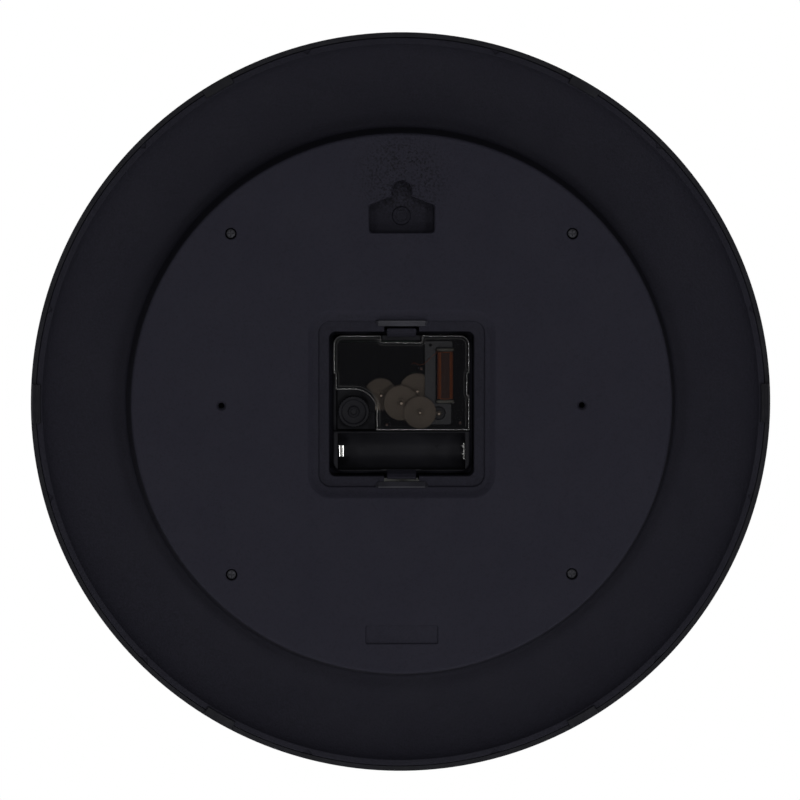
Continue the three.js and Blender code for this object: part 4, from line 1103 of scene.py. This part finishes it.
def make_coil():
    x, y = COIL_AXIS
    low, high = extent("coil_winding", Z)
    winding = bar_z(square(3.25, 2.4, (x, y)), low, high, 0.15)
    bore = bar_z(square(2.1, 0.2, (x, y), 1.4), low - 1, high + 1, 0.02)
    piece(joined("copper_winding_wound", [winding], [bore]), COPPER, nodes=["coil_winding"])

    # A dark brown strip along the middle of the winding's back, between two bare copper bands.
    dark_strip = box((x - 1.75, x + 1.75), (y + 3.1, y + 3.34), (low + 0.3, high - 0.3), 0.08)
    piece(raw_object("coil_back_strip", [dark_strip]), DARK_STRIP)

    flanges = [
        bar_z(square(3.6, 0.8, (x, y)), end, end + 1.2, 0.2) for end in (low - 1.5, high + 0.3)
    ]
    tube = bar_z(square(2, 0.2, (x, y), 1.3), low - 1.5, high + 1.5, 0.05)
    slot = bar_z(square(1.7, 0.1, (x, y), 0.85), low - 3, high + 3, 0.02)
    pegs = [rod((x + side * 2.6, high + 0.9), 0.45, y + 3.3, y + 4.4, 0.1, 16) for side in (1, -1)]
    piece(joined("bobbin_moulding", [*flanges, tube, *pegs], [slot]), BOBBIN, nodes=["coil_bobbin"])

    core = box((x - 1.4, x + 1.4), (y - 0.5, y + 0.5), (low - 1.5, high + 1.5), 0.08)
    piece(joined("core_strip", [core]), LAMINATION, nodes=["coil_core"])

    lead = bpy.data.curves.new("coil_lead", "CURVE")
    lead.dimensions = "3D"
    lead.bevel_depth = 0.09 * MM
    lead.bevel_resolution = 3
    spline = lead.splines.new("BEZIER")
    path = [(-15.6, 14.1, 22.1), (-12, 11.4, 18.5), (-8, 10.4, 15.6), (-5.4, 10.2, 16.4), (-4.4, 9.4, 15.9)]
    spline.bezier_points.add(len(path) - 1)
    for point, place in zip(spline.bezier_points, path):
        point.co = tuple(c * MM for c in place)
        point.handle_left_type = "AUTO"
        point.handle_right_type = "AUTO"
    lead.materials.append(COPPER)
    wire = placed("coil_lead", lead)
    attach(wire, "case")


def make_stator():
    low, high = extent("stator", Z)
    plate = slab([
        (-20.7, low, 1), (-10.4, low, 1), (-10.4, -2.2, 0.3), (-9.8, -1.2, 0.3), (-9.8, high, 0.8),
        (-21.2, high, 0.8), (-21.2, high - 2.5, 0.3), (-14.2, high - 2.5, 0.6), (-14.2, -0.3, 0.4),
        (-20.7, -0.3, 0.8),
    ], 9.1, 10.1, 0.08)
    holes = [
        rod(ROTOR, 2.9, 9, 10.3, 0.05, 64),
        rod((-12.1, 23.8), 0.7, 9, 10.3),
        rod((-12.1, -7.8), 0.6, 9, 10.3),
    ]
    piece(joined("stator_plate", [plate], holes), LAMINATION, nodes=["stator"])


def make_contacts():
    middle = CELL["z"] + 0.15
    tip = extent("battery_contact_negative", X)[0]
    leaf = bar_z([
        (26, 3.8, 0.15), (26, 14.8, 0.6), (23.6, 14.8, 0.8), (tip, 9.6, 0.15),
        (tip + 0.4, 9.4, 0.15), (23.85, 14.35, 0.5), (25.6, 14.4, 0.3), (25.6, 3.8, 0.15),
    ], middle - 2.3, middle + 2.3, 0.06)
    gap = box((tip - 0.5, 23.6), (9, 15.5), (middle - 0.4, middle + 0.4), 0.05)
    piece(joined("negative_contact_leaf", [leaf], [gap]), NICKEL, nodes=["battery_contact_negative"])

    plate = box((-26, -25.5), (3.8, 14.8), (CELL["z"] - 3.5, CELL["z"] + 3.5), 0.1)
    ridges = [rod((-25.5, CELL["z"] + 0.5 + k), 0.72, 6, 14.75, 0.3, 32) for k in (1.65, -1.65)]
    piece(joined("positive_contact_plate", [plate, *ridges]), NICKEL, nodes=["battery_contact_positive"])


def make_electronics():
    x = extent("circuit_board", X)
    y = extent("circuit_board", Y)
    z = extent("circuit_board", Z)
    piece(joined("board", [box(x, y, z, 0.1)]), BOARD, nodes=["circuit_board"])
    top = extent("circuit_chip", Y)
    blob = turned([(2.4, top[0]), (2.4, top[0] + 0.4), (1.9, top[1] - 0.2), (1.1, top[1])], (9.5, 17.5), 40)
    piece(joined("resin_blob", [blob]), RESIN, nodes=["circuit_chip"])
    can = bar_x(square(0.93, 0.9, (5.85, 22)), *extent("quartz_crystal", X), 0.25)
    piece(joined("crystal_can", [can]), CAN, nodes=["quartz_crystal"])
    profile = rounded([(3, -7.2, 0.15), (3.9, -7.2, 0.3), (3.9, 1.6, 0.2), (3, 1.6, 0.15)])
    bushing = turned(profile, CENTRE, 64, closed=True)
    piece(joined("threaded_bushing", [bushing]), BRASS, nodes=["shaft_bushing"])


# ------------------------------------------------------------------ camera, light and surroundings

CAMERA = {"lens": 200, "distance": 1.845, "turned": 1.5, "raised": 3, "aim": (0.0002, 0, 0.0006)}
AMBIENT = 0.05
FLOOR_LEVEL = -0.75

# Four lamps close round the camera: how far each is turned towards +X and raised, in degrees, and its power.
LAMP_DISTANCE = 1.5
LAMP_SIZE = 0.35
LAMPS = {"low": (-1, -21, 3.6), "high": (1, 22, 3.3), "right": (-23, 0, 4.6), "left": (22, 0, 3.6)}


def sight(distance, turned_by, raised_by):
    """A place at a distance from the clock, turned towards +X and raised in degrees from straight behind."""
    turn = math.radians(turned_by)
    raised = math.radians(raised_by)
    return Vector((
        distance * math.sin(turn) * math.cos(raised),
        distance * math.cos(turn) * math.cos(raised),
        distance * math.sin(raised),
    ))


def make_camera():
    data = bpy.data.cameras.new("camera")
    data.lens = CAMERA["lens"]
    camera = placed("camera", data)
    aim = Vector(CAMERA["aim"])
    camera.location = aim + sight(CAMERA["distance"], CAMERA["turned"], CAMERA["raised"])
    camera.rotation_euler = (aim - camera.location).to_track_quat("-Z", "Y").to_euler()
    bpy.context.scene.camera = camera


def soft_light(name, place, size, power):
    """A round white softbox that points at the clock's centre."""
    data = bpy.data.lights.new(name, "AREA")
    data.shape = "DISK"
    data.size = size
    data.energy = power
    light = placed(name, data)
    light.location = place
    light.rotation_euler = (Vector() - Vector(place)).to_track_quat("-Z", "Y").to_euler()


def make_surroundings():
    world = bpy.data.worlds.new("studio")
    bpy.context.scene.world = world
    world.use_nodes = True
    tree = world.node_tree
    background = tree.nodes["Background"]
    background.inputs["Color"].default_value = (1, 1, 1, 1)
    seen = tree.nodes.new("ShaderNodeLightPath")
    level = map_range(tree, seen.outputs["Is Camera Ray"], 0, 1, AMBIENT, 1)
    tree.links.new(level.outputs["Result"], background.inputs["Strength"])

    for name, (turned_by, raised_by, power) in LAMPS.items():
        soft_light(f"{name}_softbox", sight(LAMP_DISTANCE, turned_by, raised_by), LAMP_SIZE, power)
    soft_light("dial_softbox", (0.5, -1.6, 1.2), 0.8, 34)
    for name, side in (("plus_x_softbox", 1), ("minus_x_softbox", -1)):
        soft_light(name, (1.5 * side, -0.5, 0.5), 0.6, 22)

    bpy.ops.mesh.primitive_circle_add(vertices=96, radius=2, fill_type="NGON", location=(0, 0, FLOOR_LEVEL))
    floor = bpy.context.object
    floor.name = "pale_floor"
    material, _, _ = new_material("floor_pale", (0.86, 0.86, 0.85), 0.8)
    floor.data.materials.append(material)

    scene = bpy.context.scene
    scene.view_settings.view_transform = "Standard"
    scene.view_settings.look = "None"


make_rear_case()
make_screws()
make_bezel()
make_lens()
make_spacer()
make_dial()
make_hands()
make_gears()
make_setting_knob()
make_movement_base()
make_cover()
make_middle_plate()
make_coil()
make_stator()
make_contacts()
make_electronics()
make_camera()
make_surroundings()
